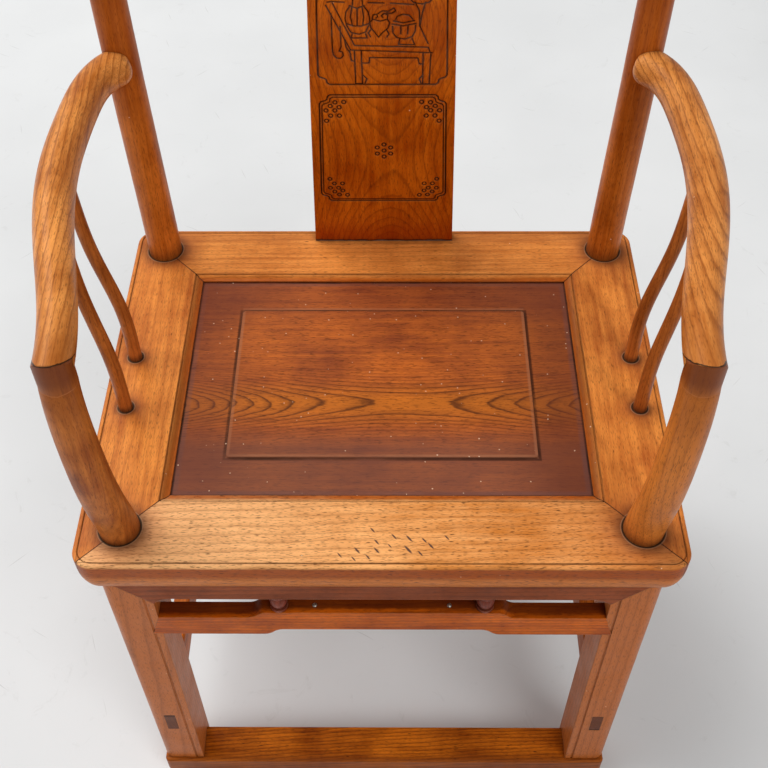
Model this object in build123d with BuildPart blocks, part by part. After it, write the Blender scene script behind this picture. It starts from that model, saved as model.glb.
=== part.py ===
from build123d import *
import math
import os

os.makedirs("parts", exist_ok=True)

# A southern official's hat armchair in solid hardwood. X runs across the chair, Y runs back
# and Z up. The origin is on the floor, in the middle of the chair's width and depth.
# Millimetres. The right-hand pieces are modelled, and the left-hand ones mirror them.

# ---- Whole chair ----
overall_height = 1112.0
seat_height = 530.0
seat_width = 570.0
seat_depth = 455.0
back_overhang = 13.0           # back of the crest rail, behind the rear edge of the seat

# ---- Fits ----
joint_gap = 0.1                # all round a tenon, tongue or peg
socket_gap = 0.15              # round a post or spindle in its socket

# ---- Seat frame ----
rail_width = 82.0
rail_thickness = 44.0
frame_corner_radius = 20.0
edge_undercut = 6.5            # how far the moulded edge falls back at its foot
edge_belly_height = 26.0       # height of the fullest point over the underside
edge_lip_radius = 3.0
edge_line_inset = 5.0          # fine line along the top, from the outer edge
edge_line_width = 1.4
edge_line_depth = 1.2
inner_bead_width = 9.0
inner_bead_drop = 3.2
inner_line_width = 1.6
inner_line_depth = 1.4
inner_bead_top_drop = 0.5
frame_tenon_inset = 62.0       # outer side of the corner tenon, from the rail's outer face
frame_tenon_width = 10.0
frame_tenon_thickness = 14.0
frame_tenon_drop = 4.0         # below the middle of the rail, clear of the panel's groove
frame_tenon_end_wall = 10.0    # wood left in front of the tenon's end

# ---- Floating seat panel and its battens ----
panel_sink = 5.0
panel_thickness = 13.0
panel_tongue_thickness = 7.0
panel_tongue_length = 8.0
panel_border_side = 48.0
panel_border_end = 45.0
panel_field_rise = 1.6
panel_field_corner = 5.0
batten_spacing = 180.0
batten_width = 24.0
batten_depth = 18.0
dovetail_depth = 4.0
dovetail_width = 20.0
dovetail_flare = 2.0           # on each side
batten_tenon_length = 10.0
batten_tenon_width = 14.0
batten_tenon_height = 9.0

# ---- Legs and posts ----
leg_side_inset = 12.0          # side edge of the seat to the outer face of the legs
leg_front_inset = 18.0
leg_rear_inset = 12.0
front_leg_width = 48.0
front_leg_depth = 46.0
rear_leg_width = 46.0
rear_leg_depth = 45.0
leg_round = 11.0
leg_back_round = 16.0          # inner rear corner of a front leg, inner front one of a rear leg
leg_bead_radius = 3.5
leg_bead_width = 8.5
leg_line_radius = 1.3
front_post_side_inset = 41.0
front_post_inset = 42.5
rear_post_side_inset = 34.0
rear_post_inset = 34.0         # from the rear edge of the seat
front_post_base_diameter = 38.0
front_post_top_diameter = 31.0
front_post_swing = 24.5        # how far the post sweeps forward at its fullest
front_post_swing_height = 155.0
front_post_return = 4.0        # how far it comes back at the arm
rear_post_base_diameter = 37.0
rear_post_top_diameter = 32.0
rear_post_splay = 9.0          # outwards, over the whole height of the back
rear_post_lean = 16.0          # backwards, at the crest rail
post_tenon_diameter = 14.0
post_tenon_length = 22.0

# ---- Arms ----
arm_height = 255.0             # seat top to the middle of the arm
arm_end_width = 31.0
arm_end_height = 33.0
arm_full_width = 35.5
arm_full_height = 34.0
arm_bowl_drop = 18.0           # middle of the arm to the foot of the front post's head
arm_mitre_rise = 6.5           # middle of the arm up to the slanting joint, on the post's axis
arm_mitre_slope = 30.0         # degrees, rising forwards
arm_tenon_cover = 4.0          # wood left over the front post's tenon
arm_elbow_bow = 39.5           # arm's fullest point, outside the middle of the front post
arm_elbow_share = 0.554        # its place, as a share of the seat's depth
arm_shoulder_bow = 25.0        # outside the front post, just before the rear post
arm_shoulder_setback = 32.0    # in front of the rear post
arm_nose_inset = 4.0           # where the arm's rounded end stops, inside the rear post's middle
arm_nose_setback = 9.5         # and in front of it
arm_nose_round = 13.0
arm_sections = 11
arm_tenon_length = 12.0

# ---- Spindles ----
spindle_base_diameter = 14.0
spindle_top_diameter = 12.4
spindle_tenon_diameter = 9.0
spindle_tenon_length = 14.0
spindle_grip = 9.0             # length held inside the arm
spindle_foot_inset = 24.0      # side edge of the seat to the foot
spindle_drift = 6.0            # how far the top stands behind the foot
rear_spindle_share = 0.563     # its place, as a share of the seat's depth
rear_spindle_sweep = 23.0
front_spindle_share = 0.413
front_spindle_sweep = 16.0

# ---- Back ----
splat_base_width = 158.0
splat_top_width = 130.0
splat_thickness = 13.0
splat_base_inset = 12.0        # from the rear edge of the seat
splat_waist_forward = 9.5      # how far the S comes forward at the small of the back
splat_waist_height = 200.0
splat_top_inset = 1.0          # in front of the middle of the crest rail
splat_tenon_thickness = 9.0
splat_tenon_length = 14.0
splat_tenon_shoulder = 8.0
splat_crest_grip = 12.0
crest_end_diameter = 33.0
crest_middle_depth = 34.0
crest_middle_height = 46.0
crest_end_height = 552.0       # seat top to the middle of the crest rail at its ends
crest_bowl_drop = 18.0
crest_peg_diameter = 5.0
crest_peg_length = 18.0

# ---- Aprons under the seat ----
apron_height = 45.0
apron_thickness = 14.0
apron_lap_thickness = 8.0      # where it laps over a leg
apron_lap_end = 14.0           # leg's outer face to the end of the lap
apron_spandrel_drop = 9.0
apron_spandrel_length = 24.0
apron_tongue_thickness = 6.0
apron_tongue_height = 5.0

# ---- Humpback stretchers and their turned struts ----
hump_stretcher_height = 34.0
hump_stretcher_thickness = 18.0
hump_stretcher_inset = 0.0     # behind the face of the legs
hump_strut_gap = 27.0          # raised middle of the stretcher to the apron
hump_rise = 10.0
hump_slope_length = 10.0
hump_front_length = 240.0      # of the raised part, along its top
hump_side_length = 176.0
hump_bend_radius = 13.0
strut_setback = 17.0           # middle of a strut, inside the end of the raised part
hump_tenon_length = 20.0
hump_tenon_thickness = 8.0
hump_tenon_height = 22.0
hump_toe_length = 10.0
hump_toe_thickness = 6.0
strut_diameter = 18.0
strut_waist_diameter = 12.0
strut_ring_height = 3.2
strut_tenon_diameter = 7.0
strut_tenon_length = 8.0
nail_spacing = 135.0
nail_head_diameter = 5.0
nail_head_height = 1.2
nail_shank_diameter = 2.0
nail_shank_length = 16.0

# ---- Floor stretchers ----
footrest_top = 46.0
footrest_thickness = 28.0
footrest_depth = 44.0
footrest_reach = 5.0           # in front of the legs
footrest_lap = 8.0             # let into the face of the legs
footrest_end_round = 6.0
footrest_tenon_length = 24.0
footrest_tenon_depth = 14.0
footrest_tenon_height = 16.0
side_stretcher_middle = 150.0
side_stretcher_height = 42.0
side_stretcher_width = 20.0
side_tenon_inset = 29.5        # side edge of the legs to the inner face of stretcher and tenon
side_tenon_width = 12.6
side_mortise_height = 38.0
wedge_height = 3.6
side_rear_tenon_length = 26.0
rear_stretcher_middle = 208.0
rear_stretcher_height = 36.0
rear_stretcher_depth = 22.0
rear_stretcher_inset = 7.0     # in front of the legs' back faces
rear_tenon_length = 22.0
rear_tenon_depth = 10.0
rear_tenon_height = 24.0
stretcher_edge_round = 3.0

# ---- Places worked out from the sizes above ----
overall_depth = seat_depth + back_overhang
seat_front = -overall_depth / 2
seat_rear = seat_front + seat_depth
seat_middle = (seat_front + seat_rear) / 2
frame_underside = seat_height - rail_thickness
opening_width = seat_width - 2 * rail_width
opening_depth = seat_depth - 2 * rail_width
panel_border_top = seat_height - panel_sink
panel_underside = panel_border_top - panel_thickness

leg_outer_x = seat_width / 2 - leg_side_inset
front_leg_inner_x = leg_outer_x - front_leg_width
rear_leg_inner_x = leg_outer_x - rear_leg_width
front_leg_face = seat_front + leg_front_inset
front_leg_back = front_leg_face + front_leg_depth
rear_leg_back = seat_rear - leg_rear_inset
rear_leg_front = rear_leg_back - rear_leg_depth

front_post_x = seat_width / 2 - front_post_side_inset
front_post_y = seat_front + front_post_inset
front_post_top_y = front_post_y - front_post_swing + front_post_return
rear_post_x = seat_width / 2 - rear_post_side_inset
rear_post_y = seat_rear - rear_post_inset
arm_z = seat_height + arm_height
arm_seam_z = arm_z - arm_bowl_drop
arm_elbow_y = seat_front + seat_depth * arm_elbow_share
arm_shoulder_y = rear_post_y - arm_shoulder_setback
crest_end_z = seat_height + crest_end_height
crest_middle_z = overall_height - crest_middle_height / 2
crest_middle_y = overall_depth / 2 - crest_middle_depth / 2
crest_seam_z = crest_end_z - crest_bowl_drop

apron_bottom = frame_underside - apron_height
hump_top = apron_bottom - hump_strut_gap
hump_end_top = hump_top - hump_rise
footrest_bottom = footrest_top - footrest_thickness
splat_top_z = crest_middle_z - crest_middle_height / 2 + splat_crest_grip
splat_base_y = seat_rear - splat_base_inset
splat_waist_y = splat_base_y - splat_waist_forward
splat_top_y = crest_middle_y - splat_top_inset


def block(x_range, y_range, z_range, gap=0.0):
    """An upright block between the given bounds, grown by gap on every side."""
    with BuildPart() as body:
        with BuildSketch(Plane.XY.offset(z_range[0] - gap)):
            with Locations(((x_range[0] + x_range[1]) / 2, (y_range[0] + y_range[1]) / 2)):
                Rectangle(x_range[1] - x_range[0] + 2 * gap, y_range[1] - y_range[0] + 2 * gap)
        extrude(amount=z_range[1] - z_range[0] + 2 * gap)
    return body.part


def rod(stations, extra=0.0):
    """A round bar through (x, y, z, diameter) stations, each cut level, grown by extra in radius."""
    with BuildPart() as body:
        for x, y, z, diameter in stations:
            with BuildSketch(Plane.XY.offset(z)):
                with Locations((x, y)):
                    Circle(diameter / 2 + extra)
        loft()
    return body.part


def pin(x, y, z_range, diameter, gap=0.0):
    """An upright round pin between two heights, grown by gap in radius and at both ends."""
    with BuildPart() as body:
        with BuildSketch(Plane.XY.offset(z_range[0] - gap)):
            with Locations((x, y)):
                Circle(diameter / 2 + gap)
        extrude(amount=z_range[1] - z_range[0] + 2 * gap)
    return body.part


def mix(start, end, share):
    """The value a given share of the way from start to end."""
    return start + (end - start) * share


def section_plane(turn):
    """Cross-section of one side of the seat frame: x runs inwards from its edge, y up from its foot.
    Turn is 0 at the front, 90 on the right, 180 at the rear and 270 on the left."""
    inwards = Vector(0, 1, 0).rotate(Axis.Z, turn)
    reach = seat_depth / 2 if turn % 180 == 0 else seat_width / 2
    edge = Vector(0, seat_middle, frame_underside) - inwards * reach
    return Plane(origin=edge, x_dir=inwards, z_dir=Vector(1, 0, 0).rotate(Axis.Z, turn))


def face_plane(turn, inset):
    """Upright plane behind one side of the seat: x runs along the side, y up and z outwards."""
    outwards = Vector(0, -1, 0).rotate(Axis.Z, turn)
    reach = (seat_depth / 2 if turn % 180 == 0 else seat_width / 2) - inset
    middle = Vector(0, seat_middle, 0) + outwards * reach
    return Plane(origin=middle, x_dir=Vector(1, 0, 0).rotate(Axis.Z, turn), z_dir=outwards)


def export_piece(piece, name):
    """Label one finished piece and write it to its own file."""
    piece.label = name
    export_step(piece, f"parts/{name}.step")


def export_pair(piece, name):
    """Write a right-hand piece and its mirror image."""
    export_piece(piece, f"{name}_right")
    with BuildPart() as left_piece:
        mirror(piece, about=Plane.YZ)
    export_piece(left_piece.part, f"{name}_left")


# ---- Legs and posts: their round parts, which other pieces fit round ----
# (share of the height, share of the swing forwards or of the lean backwards)
front_post_line = ((0.0, 0.0), (0.1, 0.17), (0.27, 0.56), (0.47, 0.87))
rear_post_line = ((0.0, 0.0), (0.3, 0.0), (0.6, 0.15), (0.82, 0.55), (1.0, 1.0))


def front_post():
    """Right front post, from the foot of the seat frame to the seam under the arm."""
    rise = arm_seam_z - seat_height
    swing_share = front_post_swing_height / rise
    stations = []
    for share, forward in front_post_line + ((swing_share, 1.0),):
        z = seat_height + rise * share
        diameter = mix(front_post_base_diameter, front_post_top_diameter, share)
        stations.append((front_post_x, front_post_y - front_post_swing * forward, z, diameter))
    stations.append((front_post_x, front_post_top_y, arm_seam_z, front_post_top_diameter))
    with BuildPart() as post:
        add(pin(front_post_x, front_post_y, (frame_underside, seat_height), front_post_base_diameter))
        add(rod(stations))
    return post.part


def rear_post(extra=0.0):
    """Right rear post, from the foot of the seat frame to the seam under the crest rail."""
    rise = crest_seam_z - seat_height
    stations = []
    for share, lean in rear_post_line:
        x = rear_post_x + rear_post_splay * share
        y = rear_post_y + rear_post_lean * lean
        diameter = mix(rear_post_base_diameter, rear_post_top_diameter, share)
        stations.append((x, y, seat_height + rise * share, diameter))
    with BuildPart() as post:
        add(pin(rear_post_x, rear_post_y, (frame_underside, seat_height), rear_post_base_diameter))
        add(rod(stations, extra))
    return post.part


rear_post_top_x = rear_post_x + rear_post_splay
rear_post_top_y = rear_post_y + rear_post_lean
front_post_tenon = (arm_seam_z, arm_z + arm_end_height / 2 - arm_tenon_cover)
rear_post_tenon = (crest_seam_z, crest_seam_z + post_tenon_length)
crest_peg_z = crest_seam_z + post_tenon_length / 2
rear_post_arm_x = rear_post_x + rear_post_splay * arm_height / (crest_seam_z - seat_height)


def arm_tenon_plane():
    """Plane on the rear post's axis, facing forwards along the end of the right arm."""
    shoulder = Vector(front_post_x + arm_shoulder_bow, arm_shoulder_y, arm_z)
    axis = Vector(rear_post_arm_x, rear_post_y, arm_z)
    return Plane(origin=axis, z_dir=shoulder - axis)


def arm_tenon(gap=0.0):
    """Round tenon that joins the rear end of the right arm to the rear post."""
    with BuildPart() as tenon:
        with BuildSketch(arm_tenon_plane().offset(rear_post_base_diameter / 2 - arm_tenon_length)):
            Circle(post_tenon_diameter / 2 + gap)
        extrude(amount=arm_tenon_length + gap)
    return tenon.part


# ---- Seat frame: a ring with a moulded edge, cut into four mitred rails ----
def edge_cutter():
    """Waste outside the moulded edge, and the fine line on its top, on a section plane."""
    with BuildSketch() as waste:
        with BuildLine():
            foot = (edge_undercut, 0)
            fullest = (0, edge_belly_height)
            lip = (edge_lip_radius, rail_thickness)
            outside = -2.0
            Line((outside, -1), (edge_undercut, -1))
            Line((edge_undercut, -1), foot)
            TangentArc(fullest, foot, tangent=(0, -1))
            Line(fullest, (0, rail_thickness - edge_lip_radius))
            RadiusArc((0, rail_thickness - edge_lip_radius), lip, edge_lip_radius)
            Line(lip, (edge_lip_radius, rail_thickness + 1))
            Line((edge_lip_radius, rail_thickness + 1), (outside, rail_thickness + 1))
            Line((outside, rail_thickness + 1), (outside, -1))
        make_face()
        with BuildLine():
            near = (edge_line_inset - edge_line_width / 2, rail_thickness)
            far = (edge_line_inset + edge_line_width / 2, rail_thickness)
            bottom = (edge_line_inset, rail_thickness - edge_line_depth)
            Polyline(near, bottom, far, close=True)
        make_face()
    return waste.sketch


with BuildPart() as frame_ring:
    with BuildSketch(Plane.XY.offset(frame_underside)):
        with Locations((0, seat_middle)):
            RectangleRounded(seat_width, seat_depth, frame_corner_radius)
            Rectangle(opening_width, opening_depth, mode=Mode.SUBTRACT)
    extrude(amount=rail_thickness)
    for turn in (0, 90, 180, 270):
        side_length = seat_width if turn % 180 == 0 else seat_depth
        end_length = side_length / 2 - frame_corner_radius
        plane = section_plane(turn)
        with BuildSketch(plane):
            add(edge_cutter())
        extrude(amount=end_length, both=True, mode=Mode.SUBTRACT)
        corner_plane = plane.offset(end_length)
        corner_centre = corner_plane.from_local_coords(Vector(frame_corner_radius, 0, 0))
        with BuildSketch(corner_plane):
            add(edge_cutter())
        revolve(axis=Axis(corner_centre, (0, 0, 1)), revolution_arc=90, mode=Mode.SUBTRACT)


def post_holes():
    """Round holes through the seat frame for the four posts."""
    with BuildPart() as holes:
        for side in (-1, 1):
            for x, y, diameter in (
                (front_post_x, front_post_y, front_post_base_diameter),
                (rear_post_x, rear_post_y, rear_post_base_diameter),
            ):
                add(pin(side * x, y, (frame_underside, seat_height), diameter, socket_gap))
    return holes.part


def frame_tenon(end, gap=0.0):
    """Right-hand corner tenon of the front rail (end -1) or rear rail (end 1)."""
    edge = seat_front if end < 0 else seat_rear
    near = edge - end * frame_tenon_inset
    far = near - end * frame_tenon_width
    middle = frame_underside + rail_thickness / 2 - frame_tenon_drop
    half = frame_tenon_thickness / 2
    x_range = (seat_width / 2 - rail_width, seat_width / 2 - frame_tenon_end_wall)
    return block(x_range, (min(near, far), max(near, far)), (middle - half, middle + half), gap)


def make_rail(turn):
    """One mitred rail of the seat frame, with its inner bead, panel groove and apron groove."""
    half_width = seat_width / 2
    plane = section_plane(turn)
    side_half = half_width if turn % 180 == 0 else seat_depth / 2
    along = plane.z_dir
    inwards = plane.x_dir
    edge = Vector(plane.origin.X, plane.origin.Y, 0)
    outer = [edge - along * side_half, edge + along * side_half]
    inner_middle = edge + inwards * rail_width
    inner_half = side_half - rail_width
    inner = [inner_middle + along * inner_half, inner_middle - along * inner_half]
    with BuildPart() as rail:
        add(frame_ring.part)
        with BuildSketch(Plane.XY.offset(frame_underside)):
            with BuildLine():
                Polyline(*[(point.X, point.Y) for point in outer + inner], close=True)
            make_face()
        extrude(amount=rail_thickness, mode=Mode.INTERSECT)
        with BuildSketch(plane):
            line_start = (rail_width - inner_bead_width, rail_thickness)
            line_bottom = (line_start[0] + inner_line_width / 2, rail_thickness - inner_line_depth)
            bead_start = (line_start[0] + inner_line_width, rail_thickness - inner_bead_top_drop)
            bead_end = (rail_width, rail_thickness - inner_bead_drop)
            with BuildLine():
                Polyline(bead_end, (rail_width, rail_thickness), line_start, line_bottom, bead_start)
                RadiusArc(bead_start, bead_end, -inner_bead_width)
            make_face()
            groove_top = rail_thickness - panel_sink + joint_gap
            groove_height = panel_tongue_thickness + 2 * joint_gap
            groove_depth = panel_tongue_length + joint_gap
            with Locations((rail_width - groove_depth / 2, groove_top - groove_height / 2)):
                Rectangle(groove_depth, groove_height)
        extrude(amount=side_half, both=True, mode=Mode.SUBTRACT)
    return rail.part


# ---- Aprons: a board under each side of the frame, lapped over the legs with mitred ends ----
def apron(turn, face_inset, start, end, start_lap, end_lap):
    """Apron below one side of the seat, between the inner faces of two legs at start and end."""
    with BuildPart() as board:
        # the board between the legs, with a small spandrel at each leg
        with BuildSketch(face_plane(turn, face_inset)):
            with BuildLine():
                top = frame_underside
                drop = apron_bottom - apron_spandrel_drop
                Line((start, top), (start, drop))
                RadiusArc((start, drop), (start + apron_spandrel_length, apron_bottom), apron_spandrel_length)
                RadiusArc((end - apron_spandrel_length, apron_bottom), (end, drop), apron_spandrel_length)
                Line(
                    (start + apron_spandrel_length, apron_bottom),
                    (end - apron_spandrel_length, apron_bottom),
                )
                Line((end, drop), (end, top))
                Line((end, top), (start, top))
            make_face()
        extrude(amount=-apron_thickness)
        # the mitred laps over the faces of the two legs
        with BuildSketch(face_plane(turn, face_inset)):
            for inner, lap, way in ((start, start_lap, -1), (end, end_lap, 1)):
                drop = apron_bottom - apron_spandrel_drop
                with BuildLine():
                    Polyline(
                        (inner, frame_underside),
                        (inner, drop),
                        (inner + way * lap, drop + lap),
                        (inner + way * lap, frame_underside),
                        close=True,
                    )
                make_face()
        extrude(amount=-apron_lap_thickness)
        # the tongue that is housed in the underside of the frame
        middle = face_inset + apron_thickness / 2
        with BuildSketch(face_plane(turn, middle - apron_tongue_thickness / 2)):
            with Locations(((start + end) / 2, frame_underside + apron_tongue_height / 2)):
                Rectangle(end - start, apron_tongue_height)
        extrude(amount=-apron_tongue_thickness)
    return board.part


front_lap = front_leg_width - apron_lap_end
rear_lap = rear_leg_width - apron_lap_end
side_laps = (front_leg_depth - apron_lap_end, rear_leg_depth - apron_lap_end)
side_start = front_leg_back - seat_middle
side_end = rear_leg_front - seat_middle
front_apron = apron(0, leg_front_inset, -front_leg_inner_x, front_leg_inner_x, front_lap, front_lap)
rear_apron = apron(180, leg_rear_inset, -rear_leg_inner_x, rear_leg_inner_x, rear_lap, rear_lap)
side_apron = apron(90, leg_side_inset, side_start, side_end, *side_laps)


def apron_groove(turn, face_inset, start, end):
    """Groove in the underside of the frame for an apron's tongue."""
    middle = face_inset + apron_thickness / 2
    half = apron_tongue_thickness / 2 + joint_gap
    with BuildPart() as groove:
        with BuildSketch(face_plane(turn, middle - half)):
            with Locations(((start + end) / 2, frame_underside + apron_tongue_height / 2)):
                Rectangle(end - start + 2 * joint_gap, apron_tongue_height + 2 * joint_gap)
        extrude(amount=-2 * half)
    return groove.part


# ---- Humpback stretchers ----
def hump_line(start, end, raised_length, drop):
    """Top line of a humpback stretcher, or the same line a drop lower, bent at even depth."""
    middle = (start + end) / 2
    slope_angle = math.atan2(hump_rise, hump_slope_length)
    upper_bend = raised_length / 2 - drop * math.tan(slope_angle / 2)
    lower_bend = upper_bend + hump_slope_length
    low = hump_end_top - drop
    high = hump_top - drop
    return [
        (start, low),
        (middle - lower_bend, low),
        (middle - upper_bend, high),
        (middle + upper_bend, high),
        (middle + lower_bend, low),
        (end, low),
    ]


def hump_stretcher(turn, inset, start, end, raised_length):
    """Stretcher with a raised middle, between the inner faces of two legs at start and end."""
    low = hump_end_top
    with BuildPart() as stretcher:
        with BuildSketch(face_plane(turn, inset)):
            with BuildLine():
                FilletPolyline(*hump_line(start, end, raised_length, 0.0), radius=hump_bend_radius)
                FilletPolyline(
                    *hump_line(start, end, raised_length, hump_stretcher_height),
                    radius=hump_bend_radius,
                )
                Line((start, low), (start, low - hump_stretcher_height))
                Line((end, low), (end, low - hump_stretcher_height))
            make_face()
        extrude(amount=-hump_stretcher_thickness)
        # pointed toes that lap over the beads of the legs
        with BuildSketch(face_plane(turn, inset)):
            for inner, way in ((start, -1), (end, 1)):
                with BuildLine():
                    Polyline(
                        (inner, low),
                        (inner, low - hump_stretcher_height),
                        (inner + way * hump_toe_length, low - hump_stretcher_height),
                        close=True,
                    )
                make_face()
        extrude(amount=-hump_toe_thickness)
        add(hump_tenons(turn, inset, start, end))
    return stretcher.part


def hump_tenons(turn, inset, start, end, gap=0.0):
    """The two hidden tenons of a humpback stretcher."""
    tenon_face = inset + (hump_stretcher_thickness - hump_tenon_thickness) / 2 - gap
    with BuildPart() as tenons:
        with BuildSketch(face_plane(turn, tenon_face)):
            for inner, way in ((start, -1), (end, 1)):
                middle_z = hump_end_top - hump_stretcher_height / 2
                with Locations((inner + way * hump_tenon_length / 2, middle_z)):
                    Rectangle(hump_tenon_length + 2 * gap, hump_tenon_height + 2 * gap)
        extrude(amount=-hump_tenon_thickness - 2 * gap)
    return tenons.part


front_hump = (0, leg_front_inset + hump_stretcher_inset, -front_leg_inner_x, front_leg_inner_x)
side_hump = (90, leg_side_inset + hump_stretcher_inset, side_start, side_end)
hump_front_y = seat_front + leg_front_inset + hump_stretcher_inset + hump_stretcher_thickness / 2
hump_side_x = seat_width / 2 - leg_side_inset - hump_stretcher_inset - hump_stretcher_thickness / 2
hump_side_middle = seat_middle + (side_start + side_end) / 2
front_strut_x = hump_front_length / 2 - strut_setback
side_strut_offset = hump_side_length / 2 - strut_setback
strut_places = [
    (-front_strut_x, hump_front_y),
    (front_strut_x, hump_front_y),
    (hump_side_x, hump_side_middle - side_strut_offset),
    (hump_side_x, hump_side_middle + side_strut_offset),
]
strut_tenon_range = (hump_top - strut_tenon_length, apron_bottom + strut_tenon_length)


def strut_sockets():
    """Waste of the round holes for the struts' tenons, in the stretchers and aprons."""
    with BuildPart() as sockets:
        for x, y in strut_places:
            add(pin(x, y, strut_tenon_range, strut_tenon_diameter, joint_gap))
    return sockets.part


def nail(x, gap=0.0):
    """A round-headed nail in the top of the front humpback stretcher."""
    with BuildPart() as body:
        with BuildSketch(Plane.XZ.offset(-hump_front_y)):
            with BuildLine():
                shank = nail_shank_diameter / 2 + gap
                head = nail_head_diameter / 2
                Line((x, hump_top - nail_shank_length - gap), (x, hump_top + nail_head_height))
                ThreePointArc(
                    (x, hump_top + nail_head_height),
                    (x + head * 0.72, hump_top + nail_head_height * 0.7),
                    (x + head, hump_top),
                )
                Line((x + head, hump_top), (x + shank, hump_top))
                Line((x + shank, hump_top), (x + shank, hump_top - nail_shank_length - gap))
                Line((x + shank, hump_top - nail_shank_length - gap), (x, hump_top - nail_shank_length - gap))
            make_face()
        revolve(axis=Axis((x, hump_front_y, 0), (0, 0, 1)))
    return body.part


with BuildPart() as stretcher_nails:
    for side in (-1, 1):
        add(nail(side * nail_spacing / 2))

with BuildPart() as front_humpback:
    add(hump_stretcher(*front_hump, hump_front_length))
    add(strut_sockets(), mode=Mode.SUBTRACT)
    for side in (-1, 1):
        add(nail(side * nail_spacing / 2, joint_gap), mode=Mode.SUBTRACT)

with BuildPart() as side_humpback:
    add(hump_stretcher(*side_hump, hump_side_length))
    add(strut_sockets(), mode=Mode.SUBTRACT)

with BuildPart() as apron_front:
    add(front_apron)
    add(strut_sockets(), mode=Mode.SUBTRACT)

with BuildPart() as apron_side:
    add(side_apron)
    add(strut_sockets(), mode=Mode.SUBTRACT)


def strut(x, y):
    """A short turned strut with a ring at each end, between a stretcher and its apron."""
    with BuildPart() as turned:
        with BuildSketch(Plane.XZ.offset(-y)):
            with BuildLine():
                radius = strut_diameter / 2
                waist = strut_waist_diameter / 2
                tenon = strut_tenon_diameter / 2
                middle = (hump_top + apron_bottom) / 2
                Polyline(
                    (x + waist, hump_top + strut_ring_height),
                    (x + radius, hump_top + strut_ring_height),
                    (x + radius, hump_top),
                    (x + tenon, hump_top),
                    (x + tenon, strut_tenon_range[0]),
                    (x, strut_tenon_range[0]),
                    (x, strut_tenon_range[1]),
                    (x + tenon, strut_tenon_range[1]),
                    (x + tenon, apron_bottom),
                    (x + radius, apron_bottom),
                    (x + radius, apron_bottom - strut_ring_height),
                    (x + waist, apron_bottom - strut_ring_height),
                )
                ThreePointArc(
                    (x + waist, apron_bottom - strut_ring_height),
                    (x + radius, middle),
                    (x + waist, hump_top + strut_ring_height),
                )
            make_face()
        revolve(axis=Axis((x, y, 0), (0, 0, 1)))
    return turned.part


# ---- Footrest and floor stretchers ----
footrest_front = front_leg_face - footrest_reach
footrest_lap_back = front_leg_face + footrest_lap
footrest_back = footrest_front + footrest_depth
footrest_tenon_y = (footrest_lap_back + footrest_back) / 2
footrest_tenon_z = (footrest_top + footrest_bottom) / 2
footrest_tenon = (
    (front_leg_inner_x, front_leg_inner_x + footrest_tenon_length),
    (footrest_tenon_y - footrest_tenon_depth / 2, footrest_tenon_y + footrest_tenon_depth / 2),
    (footrest_tenon_z - footrest_tenon_height / 2, footrest_tenon_z + footrest_tenon_height / 2),
)

with BuildPart() as footrest:
    with BuildSketch(Plane.XY.offset(footrest_bottom)):
        with Locations((0, (footrest_front + footrest_lap_back) / 2)):
            front_strip = Rectangle(2 * leg_outer_x, footrest_lap_back - footrest_front)
        fillet(front_strip.vertices().group_by(Axis.Y)[0], footrest_end_round)
        with Locations((0, (footrest_front + footrest_back) / 2)):
            Rectangle(2 * front_leg_inner_x, footrest_depth)
    extrude(amount=footrest_thickness)
    front_edges = footrest.edges().filter_by(Axis.X).group_by(Axis.Y)[0]
    fillet(front_edges.sort_by(Axis.Z)[-1], stretcher_edge_round)
    with BuildPart(mode=Mode.PRIVATE) as footrest_tenon_right:
        add(block(*footrest_tenon))
    add(footrest_tenon_right.part)
    mirror(footrest_tenon_right.part, about=Plane.YZ)

side_stretcher_inner_x = leg_outer_x - side_tenon_inset
side_stretcher_x = (side_stretcher_inner_x, side_stretcher_inner_x + side_stretcher_width)
side_tenon_x = (side_stretcher_inner_x, side_stretcher_inner_x + side_tenon_width)
side_mortise_z = (
    side_stretcher_middle - side_mortise_height / 2,
    side_stretcher_middle + side_mortise_height / 2,
)
side_rear_tenon_y = (rear_leg_front, rear_leg_front + side_rear_tenon_length)


def side_stretcher(side, wedge_on_top):
    """Floor stretcher on one side (1 right, -1 left): a wedged through tenon in front, a blind one behind."""
    body_x = sorted((side * side_stretcher_x[0], side * side_stretcher_x[1]))
    tenon_x = sorted((side * side_tenon_x[0], side * side_tenon_x[1]))
    tenon_z = list(side_mortise_z)
    tenon_z[1 if wedge_on_top else 0] += -wedge_height if wedge_on_top else wedge_height
    half_height = side_stretcher_height / 2
    with BuildPart() as stretcher:
        add(block(
            body_x,
            (front_leg_back, rear_leg_front),
            (side_stretcher_middle - half_height, side_stretcher_middle + half_height),
        ))
        fillet(stretcher.edges().filter_by(Axis.Y).group_by(Axis.Z)[-1], stretcher_edge_round)
        add(block(tenon_x, (front_leg_face, front_leg_back), tenon_z))
        add(block(tenon_x, side_rear_tenon_y, side_mortise_z))
    return stretcher.part


def tenon_wedge(side, wedge_on_top):
    """Wedge that tightens the through tenon in the front leg on one side."""
    tenon_x = sorted((side * side_tenon_x[0], side * side_tenon_x[1]))
    top = side_mortise_z[1] if wedge_on_top else side_mortise_z[0] + wedge_height
    return block(tenon_x, (front_leg_face, front_leg_back), (top - wedge_height, top))


with BuildPart() as tenon_wedges:
    add(tenon_wedge(-1, True))
    add(tenon_wedge(1, False))

rear_stretcher_y = rear_leg_back - rear_stretcher_inset - rear_stretcher_depth / 2
rear_tenon = (
    (rear_leg_inner_x, rear_leg_inner_x + rear_tenon_length),
    (rear_stretcher_y - rear_tenon_depth / 2, rear_stretcher_y + rear_tenon_depth / 2),
    (rear_stretcher_middle - rear_tenon_height / 2, rear_stretcher_middle + rear_tenon_height / 2),
)

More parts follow.
